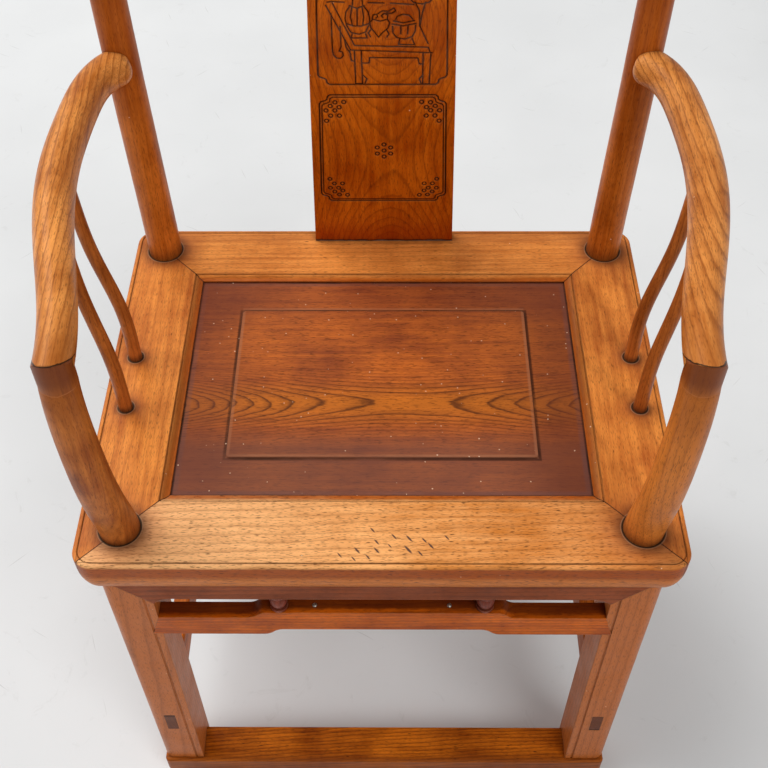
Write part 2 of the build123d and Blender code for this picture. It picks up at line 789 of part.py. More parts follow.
with BuildPart() as rear_stretcher:
    half_depth = rear_stretcher_depth / 2
    half_height = rear_stretcher_height / 2
    add(block(
        (-rear_leg_inner_x, rear_leg_inner_x),
        (rear_stretcher_y - half_depth, rear_stretcher_y + half_depth),
        (rear_stretcher_middle - half_height, rear_stretcher_middle + half_height),
    ))
    fillet(rear_stretcher.edges().filter_by(Axis.X).group_by(Axis.Z)[-1], stretcher_edge_round)
    with BuildPart(mode=Mode.PRIVATE) as rear_tenon_right:
        add(block(*rear_tenon))
    add(rear_tenon_right.part)
    mirror(rear_tenon_right.part, about=Plane.YZ)


# ---- Legs ----
def leg_section(width, depth, face_y, end):
    """Leg cross-section: beaded corners beside a round outer one, and a full round inner one.
    End is -1 for a front leg and 1 for a rear one."""
    with BuildSketch() as section:
        with Locations((leg_outer_x - width / 2, face_y - end * depth / 2)):
            Rectangle(width, depth)
        corners = section.vertices().sort_by(lambda corner: corner.X + end * corner.Y)
        fillet(corners[-1], leg_round)
        fillet(corners[1:3], leg_bead_radius)
        fillet(corners[0], leg_back_round)
        face_bead_x = leg_outer_x - width + leg_bead_width
        side_bead_y = face_y - end * (depth - leg_bead_width)
        with Locations((face_bead_x, face_y), (leg_outer_x, side_bead_y)):
            Circle(leg_line_radius, mode=Mode.SUBTRACT)
    return section.sketch


def arm_bar():
    """Right arm as a bar of changing oval section, running past both of its joints."""
    front = front_post_top_y - arm_end_width
    points = [
        (front_post_x, front),
        (front_post_x + 1.0, front_post_top_y + 18.0),
        (front_post_x + 0.25 * arm_elbow_bow, mix(front_post_top_y, arm_elbow_y, 0.3)),
        (front_post_x + 0.69 * arm_elbow_bow, mix(front_post_top_y, arm_elbow_y, 0.62)),
        (front_post_x + arm_elbow_bow, arm_elbow_y),
        (front_post_x + 0.94 * arm_elbow_bow, mix(arm_elbow_y, arm_shoulder_y, 0.6)),
        (front_post_x + arm_shoulder_bow, arm_shoulder_y),
        (rear_post_x - arm_nose_inset, rear_post_y - arm_nose_setback),
    ]
    with BuildPart() as bar:
        with BuildLine() as path:
            Spline(*[(x, y, arm_z) for x, y in points])
        centre_line = path.edges()[0]
        for step in range(arm_sections + 1):
            share = step / arm_sections
            fullness = min(1.0, max(0.0, (share - 0.1) / 0.5))
            blend = fullness * fullness * (3 - 2 * fullness)
            width = mix(arm_end_width, arm_full_width, blend)
            height = mix(arm_end_height, arm_full_height, blend)
            section = Plane(origin=centre_line @ share, x_dir=(0, 0, 1), z_dir=centre_line % share)
            with BuildSketch(section):
                Ellipse(height / 2, width / 2)
        loft()
        nose = bar.faces().sort_by_distance(centre_line @ 1)[0]
        fillet(nose.edges(), arm_nose_round)
    return bar.part


def arm_front_waste():
    """What is cut away in front of the post, to leave the arm's end as round as the post."""
    reach = 2 * arm_end_width
    with BuildPart() as waste:
        add(block(
            (front_post_x - reach, front_post_x + reach),
            (front_post_top_y - reach, front_post_top_y),
            (arm_z - reach, arm_z + reach),
        ))
        with BuildPart(mode=Mode.PRIVATE) as bowl:
            z_range = (arm_z - reach, arm_z + reach)
            add(pin(front_post_x, front_post_top_y, z_range, front_post_top_diameter))
        add(bowl.part, mode=Mode.SUBTRACT)
    return waste.part


def arm_blank():
    """Right arm with its front end shaped round, before the front post's head is let into it."""
    with BuildPart() as blank:
        add(arm_bar())
        add(arm_front_waste(), mode=Mode.SUBTRACT)
        add(pin(front_post_x, front_post_top_y, (arm_seam_z, arm_z), front_post_top_diameter))
        with BuildSketch(Plane.XY.offset(arm_seam_z)):
            with Locations((front_post_x, front_post_top_y)):
                Circle(2 * arm_end_width)
        extrude(amount=-arm_end_height, mode=Mode.SUBTRACT)
    return blank.part


def below_mitre(gap=0.0):
    """The round column of the right front post's head, cut off by the slanting joint."""
    slope = math.radians(arm_mitre_slope)
    centre = Vector(front_post_x, front_post_top_y, arm_z + arm_mitre_rise)
    z_range = (arm_seam_z, arm_z + arm_end_height)
    with BuildPart() as column:
        add(pin(front_post_x, front_post_top_y, z_range, front_post_top_diameter, gap))
        upwards = Vector(0, math.sin(slope), math.cos(slope))
        with BuildPart(mode=Mode.PRIVATE) as under:
            with BuildSketch(Plane(origin=centre, x_dir=(1, 0, 0), z_dir=upwards)):
                Rectangle(4 * arm_end_width, 4 * arm_end_width)
            extrude(amount=-4 * arm_end_width)
        add(under.part, mode=Mode.INTERSECT)
    return column.part


def front_post_head():
    """Head of the right front post, which goes on the arm's shape as far as the slanting joint."""
    with BuildPart() as head:
        add(arm_blank())
        add(below_mitre(), mode=Mode.INTERSECT)
    return head.part


with BuildPart() as front_leg:
    add(leg_section(front_leg_width, front_leg_depth, front_leg_face, -1))
    extrude(amount=frame_underside)
    add(front_post())
    add(front_post_head())
    add(pin(front_post_x, front_post_top_y, front_post_tenon, post_tenon_diameter))
    add(front_apron, mode=Mode.SUBTRACT)
    add(side_apron, mode=Mode.SUBTRACT)
    add(front_humpback.part, mode=Mode.SUBTRACT)
    add(side_humpback.part, mode=Mode.SUBTRACT)
    add(hump_tenons(*front_hump, joint_gap), mode=Mode.SUBTRACT)
    add(hump_tenons(*side_hump, joint_gap), mode=Mode.SUBTRACT)
    add(footrest.part, mode=Mode.SUBTRACT)
    add(block(*footrest_tenon, gap=joint_gap), mode=Mode.SUBTRACT)
    add(block(side_tenon_x, (front_leg_face, front_leg_back), side_mortise_z, joint_gap), mode=Mode.SUBTRACT)

with BuildPart() as rear_leg:
    add(leg_section(rear_leg_width, rear_leg_depth, rear_leg_back, 1))
    extrude(amount=frame_underside)
    add(rear_post())
    add(pin(rear_post_top_x, rear_post_top_y, rear_post_tenon, post_tenon_diameter))
    add(rear_apron, mode=Mode.SUBTRACT)
    add(side_apron, mode=Mode.SUBTRACT)
    add(side_humpback.part, mode=Mode.SUBTRACT)
    add(hump_tenons(*side_hump, joint_gap), mode=Mode.SUBTRACT)
    add(block(*rear_tenon, gap=joint_gap), mode=Mode.SUBTRACT)
    add(block(side_tenon_x, side_rear_tenon_y, side_mortise_z, joint_gap), mode=Mode.SUBTRACT)
    add(arm_tenon(joint_gap), mode=Mode.SUBTRACT)


# ---- Spindles under the arms ----
# (share of the height, share of the sweep): upright at the foot, then outwards, then upright
spindle_line = (
    (0.0, 0.0),
    (0.14, 0.0),
    (0.28, 0.08),
    (0.42, 0.35),
    (0.56, 0.68),
    (0.7, 0.89),
    (0.85, 0.98),
    (1.0, 1.0),
)


def spindle(depth, sweep, extra=0.0):
    """S-shaped right-hand spindle: it stands up, sweeps outwards and stands up again in the arm."""
    foot_x = seat_width / 2 - spindle_foot_inset
    rise = arm_z - arm_full_height / 2 + spindle_grip - seat_height
    stations = []
    for share, out in spindle_line:
        diameter = mix(spindle_base_diameter, spindle_top_diameter, share)
        y = seat_front + depth + spindle_drift * out
        stations.append((foot_x + sweep * out, y, seat_height + rise * share, diameter))
    return rod(stations, extra)


def spindle_tenon(depth, gap=0.0):
    """Round tenon at the foot of a spindle."""
    foot_x = seat_width / 2 - spindle_foot_inset
    z_range = (seat_height - spindle_tenon_length, seat_height)
    return pin(foot_x, seat_front + depth, z_range, spindle_tenon_diameter, gap)


spindle_places = {
    "arm_spindle_front": (front_spindle_share * seat_depth, front_spindle_sweep),
    "arm_spindle_rear": (rear_spindle_share * seat_depth, rear_spindle_sweep),
}
spindles = {}
for name, (depth, sweep) in spindle_places.items():
    with BuildPart() as arm_spindle:
        add(spindle(depth, sweep))
        add(spindle_tenon(depth))
    spindles[name] = arm_spindle.part


# ---- Arms ----
with BuildPart() as arm:
    add(arm_blank())
    add(below_mitre(joint_gap), mode=Mode.SUBTRACT)
    add(rear_post(socket_gap), mode=Mode.SUBTRACT)
    add(arm_tenon())
    add(
        pin(front_post_x, front_post_top_y, front_post_tenon, post_tenon_diameter, joint_gap),
        mode=Mode.SUBTRACT,
    )
    for depth, sweep in spindle_places.values():
        add(spindle(depth, sweep, socket_gap), mode=Mode.SUBTRACT)


# ---- Crest rail ----
# from past the right post inwards: shares of the post's x, of the way back and of the way up
crest_line = ((1.13, -0.2, -0.03), (1.0, 0.0, 0.0), (0.68, 0.55, 0.35), (0.33, 0.9, 0.85))


def crest_bar():
    """Crest rail as a bar of changing oval section, running past both posts."""
    half = []
    for across, back, up in crest_line:
        y = mix(rear_post_top_y, crest_middle_y, back)
        half.append((across * rear_post_top_x, y, mix(crest_end_z, crest_middle_z, up)))
    points = [(-x, y, z) for x, y, z in half] + [(0, crest_middle_y, crest_middle_z)] + half[::-1]
    with BuildPart() as bar:
        with BuildLine() as path:
            Spline(*points)
        centre_line = path.edges()[0]
        for share in (0.0, 0.1, 0.2, 0.3, 0.4, 0.5, 0.6, 0.7, 0.8, 0.9, 1.0):
            fullness = max(0.0, 1.0 - abs(share - 0.5) / 0.3)
            blend = fullness * fullness * (3 - 2 * fullness)
            depth = mix(crest_end_diameter, crest_middle_depth, blend)
            height = mix(crest_end_diameter, crest_middle_height, blend)
            section = Plane(origin=centre_line @ share, x_dir=(0, 0, 1), z_dir=centre_line % share)
            with BuildSketch(section):
                Ellipse(height / 2, depth / 2)
        loft()
    return bar.part


def crest_peg(side, gap=0.0):
    """Peg from behind, through the crest rail's bowl and the tenon of one post."""
    with BuildPart() as peg:
        back = rear_post_top_y + crest_end_diameter / 2 - 0.6
        with BuildSketch(Plane.XZ.offset(-back)):
            with Locations((side * rear_post_top_x, crest_peg_z)):
                Circle(crest_peg_diameter / 2 + gap)
        extrude(amount=crest_peg_length + gap)
    return peg.part


with BuildPart() as crest_pegs:
    for side in (-1, 1):
        add(crest_peg(side))

with BuildPart() as back_splat:
    with BuildSketch(Plane.YZ):
        with BuildLine():
            stations = [
                (splat_base_y, seat_height),
                (mix(splat_base_y, splat_waist_y, 0.68), seat_height + 0.5 * splat_waist_height),
                (splat_waist_y, seat_height + splat_waist_height),
                (mix(splat_waist_y, splat_top_y, 0.42),
                 mix(seat_height + splat_waist_height, splat_top_z, 0.5)),
                (splat_top_y, splat_top_z - splat_crest_grip),
                (splat_top_y, splat_top_z),
            ]
            half = splat_thickness / 2
            front_face = Spline(*[(y - half, z) for y, z in stations])
            back_face = Spline(*[(y + half, z) for y, z in stations])
            Line(front_face @ 0, back_face @ 0)
            Line(front_face @ 1, back_face @ 1)
        make_face()
    extrude(amount=splat_base_width / 2, both=True)
    with BuildSketch(Plane.XZ):
        with BuildLine():
            Polyline(
                (-splat_base_width / 2, seat_height),
                (splat_base_width / 2, seat_height),
                (splat_top_width / 2, splat_top_z),
                (-splat_top_width / 2, splat_top_z),
                close=True,
            )
        make_face()
    extrude(amount=overall_depth, both=True, mode=Mode.INTERSECT)
    splat_tenon_half = splat_base_width / 2 - splat_tenon_shoulder
    splat_tenon = (
        (-splat_tenon_half, splat_tenon_half),
        (splat_base_y - splat_tenon_thickness / 2, splat_base_y + splat_tenon_thickness / 2),
        (seat_height - splat_tenon_length, seat_height),
    )
    add(block(*splat_tenon))

splat_slot = (
    (-splat_top_width / 2 - 1.0, splat_top_width / 2 + 1.0),
    (splat_top_y - splat_thickness / 2, splat_top_y + splat_thickness / 2),
    (crest_middle_z - crest_middle_height, splat_top_z),
)

with BuildPart() as crest_rail:
    add(crest_bar())
    for side in (-1, 1):
        reach = 2 * crest_end_diameter
        with BuildPart(mode=Mode.PRIVATE) as end_waste:
            inner_x = side * rear_post_top_x
            outer_x = side * (rear_post_top_x + reach)
            add(block(
                sorted((inner_x, outer_x)),
                (rear_post_top_y - reach, rear_post_top_y + reach),
                (crest_end_z - reach, crest_end_z + reach),
            ))
            add(
                pin(inner_x, rear_post_top_y, (crest_end_z - reach, crest_end_z + reach), crest_end_diameter),
                mode=Mode.SUBTRACT,
            )
        add(end_waste.part, mode=Mode.SUBTRACT)
        add(pin(inner_x, rear_post_top_y, (crest_seam_z, crest_end_z), crest_end_diameter))
        with BuildSketch(Plane.XY.offset(crest_seam_z)):
            with Locations((inner_x, rear_post_top_y)):
                Circle(crest_end_diameter)
        extrude(amount=-crest_end_diameter, mode=Mode.SUBTRACT)
        add(
            pin(inner_x, rear_post_top_y, rear_post_tenon, post_tenon_diameter, joint_gap),
            mode=Mode.SUBTRACT,
        )
        add(crest_peg(side, joint_gap), mode=Mode.SUBTRACT)
    add(block(*splat_slot, gap=joint_gap), mode=Mode.SUBTRACT)

with BuildPart() as rear_leg_pegged:
    add(rear_leg.part)
    add(crest_peg(1, joint_gap), mode=Mode.SUBTRACT)


# ---- Seat frame rails ----
def batten_tenon(end, gap=0.0):
    """Tenon of the right-hand batten in the front rail (end -1) or rear rail (end 1)."""
    edge = seat_middle + end * opening_depth / 2
    y_range = sorted((edge, edge + end * batten_tenon_length))
    middle_x = batten_spacing / 2
    top = panel_underside - dovetail_depth
    x_range = (middle_x - batten_tenon_width / 2, middle_x + batten_tenon_width / 2)
    return block(x_range, y_range, (top - batten_tenon_height, top), gap)


with BuildPart() as seat_rail_front:
    add(make_rail(0))
    with BuildPart(mode=Mode.PRIVATE) as front_corner_tenon:
        add(frame_tenon(-1))
    add(front_corner_tenon.part)
    mirror(front_corner_tenon.part, about=Plane.YZ)
    add(post_holes(), mode=Mode.SUBTRACT)
    add(apron_groove(0, leg_front_inset, -front_leg_inner_x, front_leg_inner_x), mode=Mode.SUBTRACT)
    with BuildPart(mode=Mode.PRIVATE) as front_batten_mortise:
        add(batten_tenon(-1, joint_gap))
    add(front_batten_mortise.part, mode=Mode.SUBTRACT)
    mirror(front_batten_mortise.part, about=Plane.YZ, mode=Mode.SUBTRACT)

with BuildPart() as seat_rail_rear:
    add(make_rail(180))
    with BuildPart(mode=Mode.PRIVATE) as rear_corner_tenon:
        add(frame_tenon(1))
    add(rear_corner_tenon.part)
    mirror(rear_corner_tenon.part, about=Plane.YZ)
    add(post_holes(), mode=Mode.SUBTRACT)
    add(apron_groove(180, leg_rear_inset, -rear_leg_inner_x, rear_leg_inner_x), mode=Mode.SUBTRACT)
    add(block(*splat_tenon, gap=joint_gap), mode=Mode.SUBTRACT)
    with BuildPart(mode=Mode.PRIVATE) as rear_batten_mortise:
        add(batten_tenon(1, joint_gap))
    add(rear_batten_mortise.part, mode=Mode.SUBTRACT)
    mirror(rear_batten_mortise.part, about=Plane.YZ, mode=Mode.SUBTRACT)

with BuildPart() as seat_rail_side:
    add(make_rail(90))
    add(frame_tenon(-1, joint_gap), mode=Mode.SUBTRACT)
    add(frame_tenon(1, joint_gap), mode=Mode.SUBTRACT)
    add(post_holes(), mode=Mode.SUBTRACT)
    add(apron_groove(90, leg_side_inset, side_start, side_end), mode=Mode.SUBTRACT)
    for depth, sweep in spindle_places.values():
        add(spindle_tenon(depth, joint_gap), mode=Mode.SUBTRACT)


# ---- Seat panel and battens ----
def batten_section(gap=0.0):
    """End view of the right-hand batten, with the dovetail that slides into the panel."""
    with BuildSketch() as section:
        middle = batten_spacing / 2
        neck = dovetail_width / 2 - dovetail_flare
        with BuildLine():
            Polyline(
                (middle - neck - gap, panel_underside - dovetail_depth),
                (middle - neck - gap, panel_underside),
                (middle - dovetail_width / 2 - gap, panel_underside + dovetail_depth + gap),
                (middle + dovetail_width / 2 + gap, panel_underside + dovetail_depth + gap),
                (middle + neck + gap, panel_underside),
                (middle + neck + gap, panel_underside - dovetail_depth),
                close=True,
            )
        make_face()
    return section.sketch


with BuildPart() as seat_batten:
    with BuildSketch(Plane.XZ.offset(-seat_middle)):
        add(batten_section())
        with Locations((batten_spacing / 2, panel_underside - batten_depth / 2)):
            Rectangle(batten_width, batten_depth)
    extrude(amount=opening_depth / 2, both=True)
    add(batten_tenon(-1))
    add(batten_tenon(1))

with BuildPart() as seat_panel:
    with BuildSketch(Plane.XY.offset(panel_underside)):
        with Locations((0, seat_middle)):
            Rectangle(opening_width - 2 * joint_gap, opening_depth - 2 * joint_gap)
    extrude(amount=panel_thickness)
    with BuildSketch(Plane.XY.offset(panel_border_top - panel_tongue_thickness)):
        with Locations((0, seat_middle)):
            Rectangle(opening_width + 2 * panel_tongue_length, opening_depth + 2 * panel_tongue_length)
    extrude(amount=panel_tongue_thickness)
    with BuildSketch(Plane.XY.offset(panel_border_top)):
        with Locations((0, seat_middle)):
            RectangleRounded(
                opening_width - 2 * panel_border_side,
                opening_depth - 2 * panel_border_end,
                panel_field_corner,
            )
    extrude(amount=panel_field_rise, taper=35)
    with BuildPart(mode=Mode.PRIVATE) as dovetail_groove:
        with BuildSketch(Plane.XZ.offset(-seat_middle)):
            add(batten_section(joint_gap))
        extrude(amount=seat_depth / 2, both=True)
    add(dovetail_groove.part, mode=Mode.SUBTRACT)
    mirror(dovetail_groove.part, about=Plane.YZ, mode=Mode.SUBTRACT)


# ---- One file for each piece ----
export_piece(seat_rail_front.part, "seat_rail_front")
export_piece(seat_rail_rear.part, "seat_rail_rear")
export_pair(seat_rail_side.part, "seat_rail")
export_piece(seat_panel.part, "seat_panel")
export_pair(seat_batten.part, "seat_batten")
export_pair(front_leg.part, "front_leg_post")
export_pair(rear_leg_pegged.part, "rear_leg_post")
export_piece(crest_rail.part, "crest_rail")
export_piece(crest_pegs.part, "crest_pegs")
export_piece(back_splat.part, "back_splat")
export_pair(arm.part, "arm")
for name, piece in spindles.items():
    export_pair(piece, name)
export_piece(apron_front.part, "apron_front")
export_piece(rear_apron, "apron_rear")
export_pair(apron_side.part, "apron")
export_piece(front_humpback.part, "humpback_stretcher_front")
export_pair(side_humpback.part, "humpback_stretcher")
export_pair(strut(*strut_places[1]), "front_strut")
export_pair(strut(*strut_places[2]), "side_strut_front")
export_pair(strut(*strut_places[3]), "side_strut_rear")
export_piece(stretcher_nails.part, "stretcher_nails")
export_piece(footrest.part, "footrest")
export_piece(side_stretcher(1, False), "floor_stretcher_right")
export_piece(side_stretcher(-1, True), "floor_stretcher_left")
export_piece(rear_stretcher.part, "floor_stretcher_rear")
export_piece(tenon_wedges.part, "tenon_wedges")
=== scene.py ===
import math

import bmesh
import bpy
import numpy as np
from mathutils import Matrix, Vector
from mathutils.kdtree import KDTree


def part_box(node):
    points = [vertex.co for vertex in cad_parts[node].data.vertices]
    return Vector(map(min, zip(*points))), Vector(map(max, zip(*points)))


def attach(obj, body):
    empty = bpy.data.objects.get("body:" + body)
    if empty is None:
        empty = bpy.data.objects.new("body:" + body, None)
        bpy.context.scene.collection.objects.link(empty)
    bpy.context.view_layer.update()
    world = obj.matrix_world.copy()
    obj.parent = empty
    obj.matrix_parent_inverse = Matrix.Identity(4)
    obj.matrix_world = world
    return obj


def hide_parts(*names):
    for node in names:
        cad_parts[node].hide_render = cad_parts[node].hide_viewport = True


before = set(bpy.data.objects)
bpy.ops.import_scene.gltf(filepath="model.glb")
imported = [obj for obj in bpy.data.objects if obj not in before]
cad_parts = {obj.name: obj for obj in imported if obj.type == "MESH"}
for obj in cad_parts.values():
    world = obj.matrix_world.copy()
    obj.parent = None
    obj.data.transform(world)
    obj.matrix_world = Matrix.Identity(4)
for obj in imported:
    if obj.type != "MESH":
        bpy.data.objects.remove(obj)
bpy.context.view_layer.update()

bl_info = {
    "name": "Official's Hat Armchair",
    "version": (1, 0, 0),
    "blender": (4, 5, 0),
    "location": "View3D > Sidebar > Armchair",
    "description": "Finishes the hardwood of an official's hat armchair and carves its back splat",
    "category": "Object",
}

MM = 0.001


def node_box(name):
    """Lowest and highest corner of a node, in millimetres."""
    low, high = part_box(name)
    return Vector(low) / MM, Vector(high) / MM


# Places on the chair, in millimetres, read from the frame
SEAT_FRONT = node_box("seat_rail_front")[0].y
SEAT_REAR = node_box("seat_rail_rear")[1].y
SEAT_SIDE = node_box("seat_rail_right")[1].x
SEAT_TOP = node_box("seat_rail_front")[1].z
SEAT_FOOT = node_box("seat_rail_front")[0].z
# Where posts and spindles stand on the seat: x, y and radius
FRONT_POST_FOOT = (244.0, SEAT_FRONT + 42.5, 19.0)
REAR_POST_FOOT = (251.0, SEAT_REAR - 34.0, 18.5)
FRONT_SPINDLE_FOOT = (261.0, SEAT_FRONT + 187.9, 7.0)
REAR_SPINDLE_FOOT = (261.0, SEAT_FRONT + 256.2, 7.0)


# ---- Small tools ----
def linear(hex_colour):
    """An sRGB hex colour such as #C08040 as linear RGBA."""
    channels = []
    for start in (1, 3, 5):
        value = int(hex_colour[start:start + 2], 16) / 255
        channels.append(value / 12.92 if value <= 0.04045 else ((value + 0.055) / 1.055) ** 2.4)
    return (*channels, 1.0)


def set_inputs(tree, node, inputs):
    """Set a shader node's sockets to values, or link them to outputs. A node given as a value stands
    for its first output."""
    for socket, value in inputs.items():
        if isinstance(value, bpy.types.Node):
            value = value.outputs[0]
        if isinstance(value, bpy.types.NodeSocket):
            tree.links.new(value, node.inputs[socket])
        else:
            node.inputs[socket].default_value = value


def add_node(tree, kind, inputs=None, **settings):
    """Add a shader node with its settings and its inputs."""
    node = tree.nodes.new(f"ShaderNode{kind}")
    for name, value in settings.items():
        setattr(node, name, value)
    set_inputs(tree, node, inputs or {})
    return node


def new_material(name):
    """A new material, its node tree, its shader and the place on the piece."""
    material = bpy.data.materials.new(name)
    material.use_nodes = True
    tree = material.node_tree
    return material, tree, tree.nodes["Principled BSDF"], add_node(tree, "TexCoord").outputs["Object"]


def shaken(tree, place, noise, reach_mm):
    """A place moved by the colour of a noise, by at most half the reach along each axis."""
    centred = add_node(tree, "VectorMath", {0: noise.outputs["Color"], 1: (0.5, 0.5, 0.5)},
                       operation="SUBTRACT")
    shift = add_node(tree, "VectorMath", {0: centred, "Scale": reach_mm * MM}, operation="SCALE")
    return add_node(tree, "VectorMath", {0: place, 1: shift}, operation="ADD")


def specks(tree, place, scale, edge, core, limit, most=1.0):
    """Mask of small spots: one in each Voronoi cell whose random number is over the limit. A spot
    fades from its core to its edge, which are distances in cells."""
    cells = add_node(tree, "TexVoronoi", {"Vector": place, "Scale": scale}).outputs
    near = add_node(tree, "MapRange", {"Value": cells["Distance"], "From Min": edge, "From Max": core,
                                       "To Max": most})
    number = add_node(tree, "VectorMath", {0: cells["Color"], 1: (1.0, 0.0, 0.0)},
                      operation="DOT_PRODUCT").outputs["Value"]
    chosen = add_node(tree, "Math", {0: number, 1: limit}, operation="GREATER_THAN")
    return add_node(tree, "Math", {0: near, 1: chosen}, operation="MULTIPLY")


# ---- Woods ----
# The turn that brings a board's grain to the pattern's own X axis
GRAIN_TURNS = {
    "X": (0.0, 0.0, 0.0),
    "Y": (0.0, 0.0, -math.pi / 2),
    "Z": (0.0, math.pi / 2, 0.0),
    "Z_FLAT": (math.pi / 2, 0.0, math.pi / 2),
}
# How dark a ring is, from its inner to its outer side: share of the ring and darkness there
LATE_WOOD = ((0.0, 0.12), (0.35, 0.0), (0.72, 0.30), (0.88, 1.0), (0.94, 0.9), (1.0, 0.12))
# Sizes of the patterns, in waves or cells per metre along the grain and across it
WANDER = (8.0, 34.0, 34.0)          # 125 mm long and 29 mm across
STREAKS = (7.0, 160.0, 160.0)       # 143 mm long and 6 mm across
PORES = (160.0, 1300.0, 1300.0)     # 6 mm long and 0.8 mm across, coarser than real so that they show
FLECKS = (90.0, 420.0, 420.0)       # cells 11 mm long and 2.4 mm across
# and the same all ways
PATCHES = 16.0                      # 60 mm
GLOSS_PATCHES = 30.0                # 33 mm
BLOTCHES = 70.0                     # 14 mm
DUST = 110.0                        # cells of 9 mm
IRON_SPOTS = 700.0                  # 1.4 mm
# How far stains and joint lines stray from their places, and tints laid under the grain, in mm
STAIN_REACH = 5.0
TINT_REACH = 1.2
# Grey dust in the splat's cuts comes in between these heights over the seat, in mm
DUSTY_CUTS = (214.0, 222.0)


def growth_rings(tree, along, log, ring_mm):
    """Late wood, 1 on each dark ring line. Rings are shells round the pith, which lies at a point
    (along, across, below) in mm beside the board, tilted by two angles and bowed, so a sawn face
    shows arches and straight grain as a real board does."""
    place, tilt, bow = log
    from_pith = add_node(tree, "Mapping", {
        "Vector": along,
        "Location": [value * MM for value in place],
        "Rotation": (0.0, *tilt),
    }, vector_type="TEXTURE")
    split = add_node(tree, "SeparateXYZ", {0: from_pith}).outputs
    squared = add_node(tree, "Math", {0: split["X"], 1: split["X"]}, operation="MULTIPLY")
    bowed = add_node(tree, "Math", {0: squared, 1: bow, 2: split["Z"]}, operation="MULTIPLY_ADD")
    across = add_node(tree, "CombineXYZ", {"Y": split["Y"], "Z": bowed})
    radius = add_node(tree, "VectorMath", {0: across}, operation="LENGTH").outputs["Value"]
    count = add_node(tree, "Math", {0: radius, 1: ring_mm * MM}, operation="DIVIDE")
    phase = add_node(tree, "Math", {0: count}, operation="FRACT")
    late = add_node(tree, "ValToRGB", {"Fac": phase})
    points = late.color_ramp.elements
    for position, _ in LATE_WOOD[1:-1]:
        points.new(position)
    for point, (_, value) in zip(points, LATE_WOOD):
        point.color = (value, value, value, 1.0)
    return late


def mark_mask(tree, spot, flat, shape, numbers):
    """Mask of one mark, 1 on it. Its shapes, with their numbers in mm and degrees, are
    seam: a straight joint seen from above (x share, y share, offset, half width)
    slope: a slanting joint (y, z, angle, half width)
    band: a line at one height (height, half width)
    away: falls from 1 beside a line along X to a least value (y, near, far, least)
    foot: a ring round something that stands on the wood (x, y, radius where it ends, where it is full)
    frame: a line round a rectangle (half its x size, its two y places, half width)
    x, y or z: a change along that axis (place where it starts, place where it is full)"""
    if shape in ("seam", "slope", "band"):
        source = flat if shape == "seam" else spot
        if shape == "seam":
            *across, offset, half = numbers
            across = (*across, 0.0)
        elif shape == "slope":
            y, z, angle, half = numbers
            across = (0.0, math.sin(math.radians(angle)), math.cos(math.radians(angle)))
            offset = y * across[1] + z * across[2]
        else:
            offset, half = numbers
            across = (0.0, 0.0, 1.0)
        side = add_node(tree, "VectorMath", {0: source, 1: across}, operation="DOT_PRODUCT").outputs["Value"]
        return add_node(tree, "Math", {0: side, 1: offset * MM, 2: half * MM}, operation="COMPARE")
    if shape == "away":
        y, near, far, least = numbers
        value = add_node(tree, "SeparateXYZ", {0: spot}).outputs["Y"]
        value = add_node(tree, "Math", {0: value, 1: y * MM}, operation="SUBTRACT")
        value = add_node(tree, "Math", {0: value}, operation="ABSOLUTE")
        return add_node(tree, "MapRange", {"Value": value, "From Min": near * MM, "From Max": far * MM,
                                           "To Min": 1.0, "To Max": least})
    if shape == "foot":
        x, y, start, end = numbers
        value = add_node(tree, "VectorMath", {0: flat, 1: (x * MM, y * MM, 0.0)},
                         operation="DISTANCE").outputs["Value"]
    elif shape == "frame":
        x_half, y_low, y_high, half = numbers
        beyond = add_node(tree, "VectorMath", {0: flat, 1: (0.0, (y_low + y_high) / 2 * MM, 0.0)},
                          operation="SUBTRACT")
        beyond = add_node(tree, "VectorMath", {0: beyond}, operation="ABSOLUTE")
        beyond = add_node(tree, "VectorMath", {0: beyond, 1: (x_half * MM, (y_high - y_low) / 2 * MM, 0.0)},
                          operation="SUBTRACT")
        beyond = add_node(tree, "SeparateXYZ", {0: beyond}).outputs
        value = add_node(tree, "Math", {0: beyond["X"], 1: beyond["Y"]}, operation="MAXIMUM")
        value = add_node(tree, "Math", {0: value}, operation="ABSOLUTE")
        start, end = half, 0.3 * half
    else:
        start, end = numbers
        value = add_node(tree, "SeparateXYZ", {0: spot}).outputs[shape.upper()]
    return add_node(tree, "MapRange", {"Value": value, "From Min": start * MM, "From Max": end * MM},
                    interpolation_type="SMOOTHSTEP")


def dent_mask(tree, place, dents):
    """Slanting dents in the top of the front rail: x, y from the front and half length of each, in mm."""
    nearest = None
    for x, y, half in dents:
        offset = add_node(tree, "Mapping", {
            "Vector": place,
            "Location": (x * MM, (SEAT_FRONT + y) * MM, SEAT_TOP * MM),
            "Rotation": (0.0, 0.0, math.radians(DENT_TURN)),
            "Scale": (half * MM, DENT_WIDTH * half * MM, 10 * MM),
        }, vector_type="TEXTURE")
        reach = add_node(tree, "VectorMath", {0: offset}, operation="LENGTH").outputs["Value"]
        nearest = reach if nearest is None else add_node(tree, "Math", {0: nearest, 1: reach},
                                                         operation="MINIMUM")
    return add_node(tree, "MapRange", {"Value": nearest, "From Min": 1.25, "From Max": 0.7})


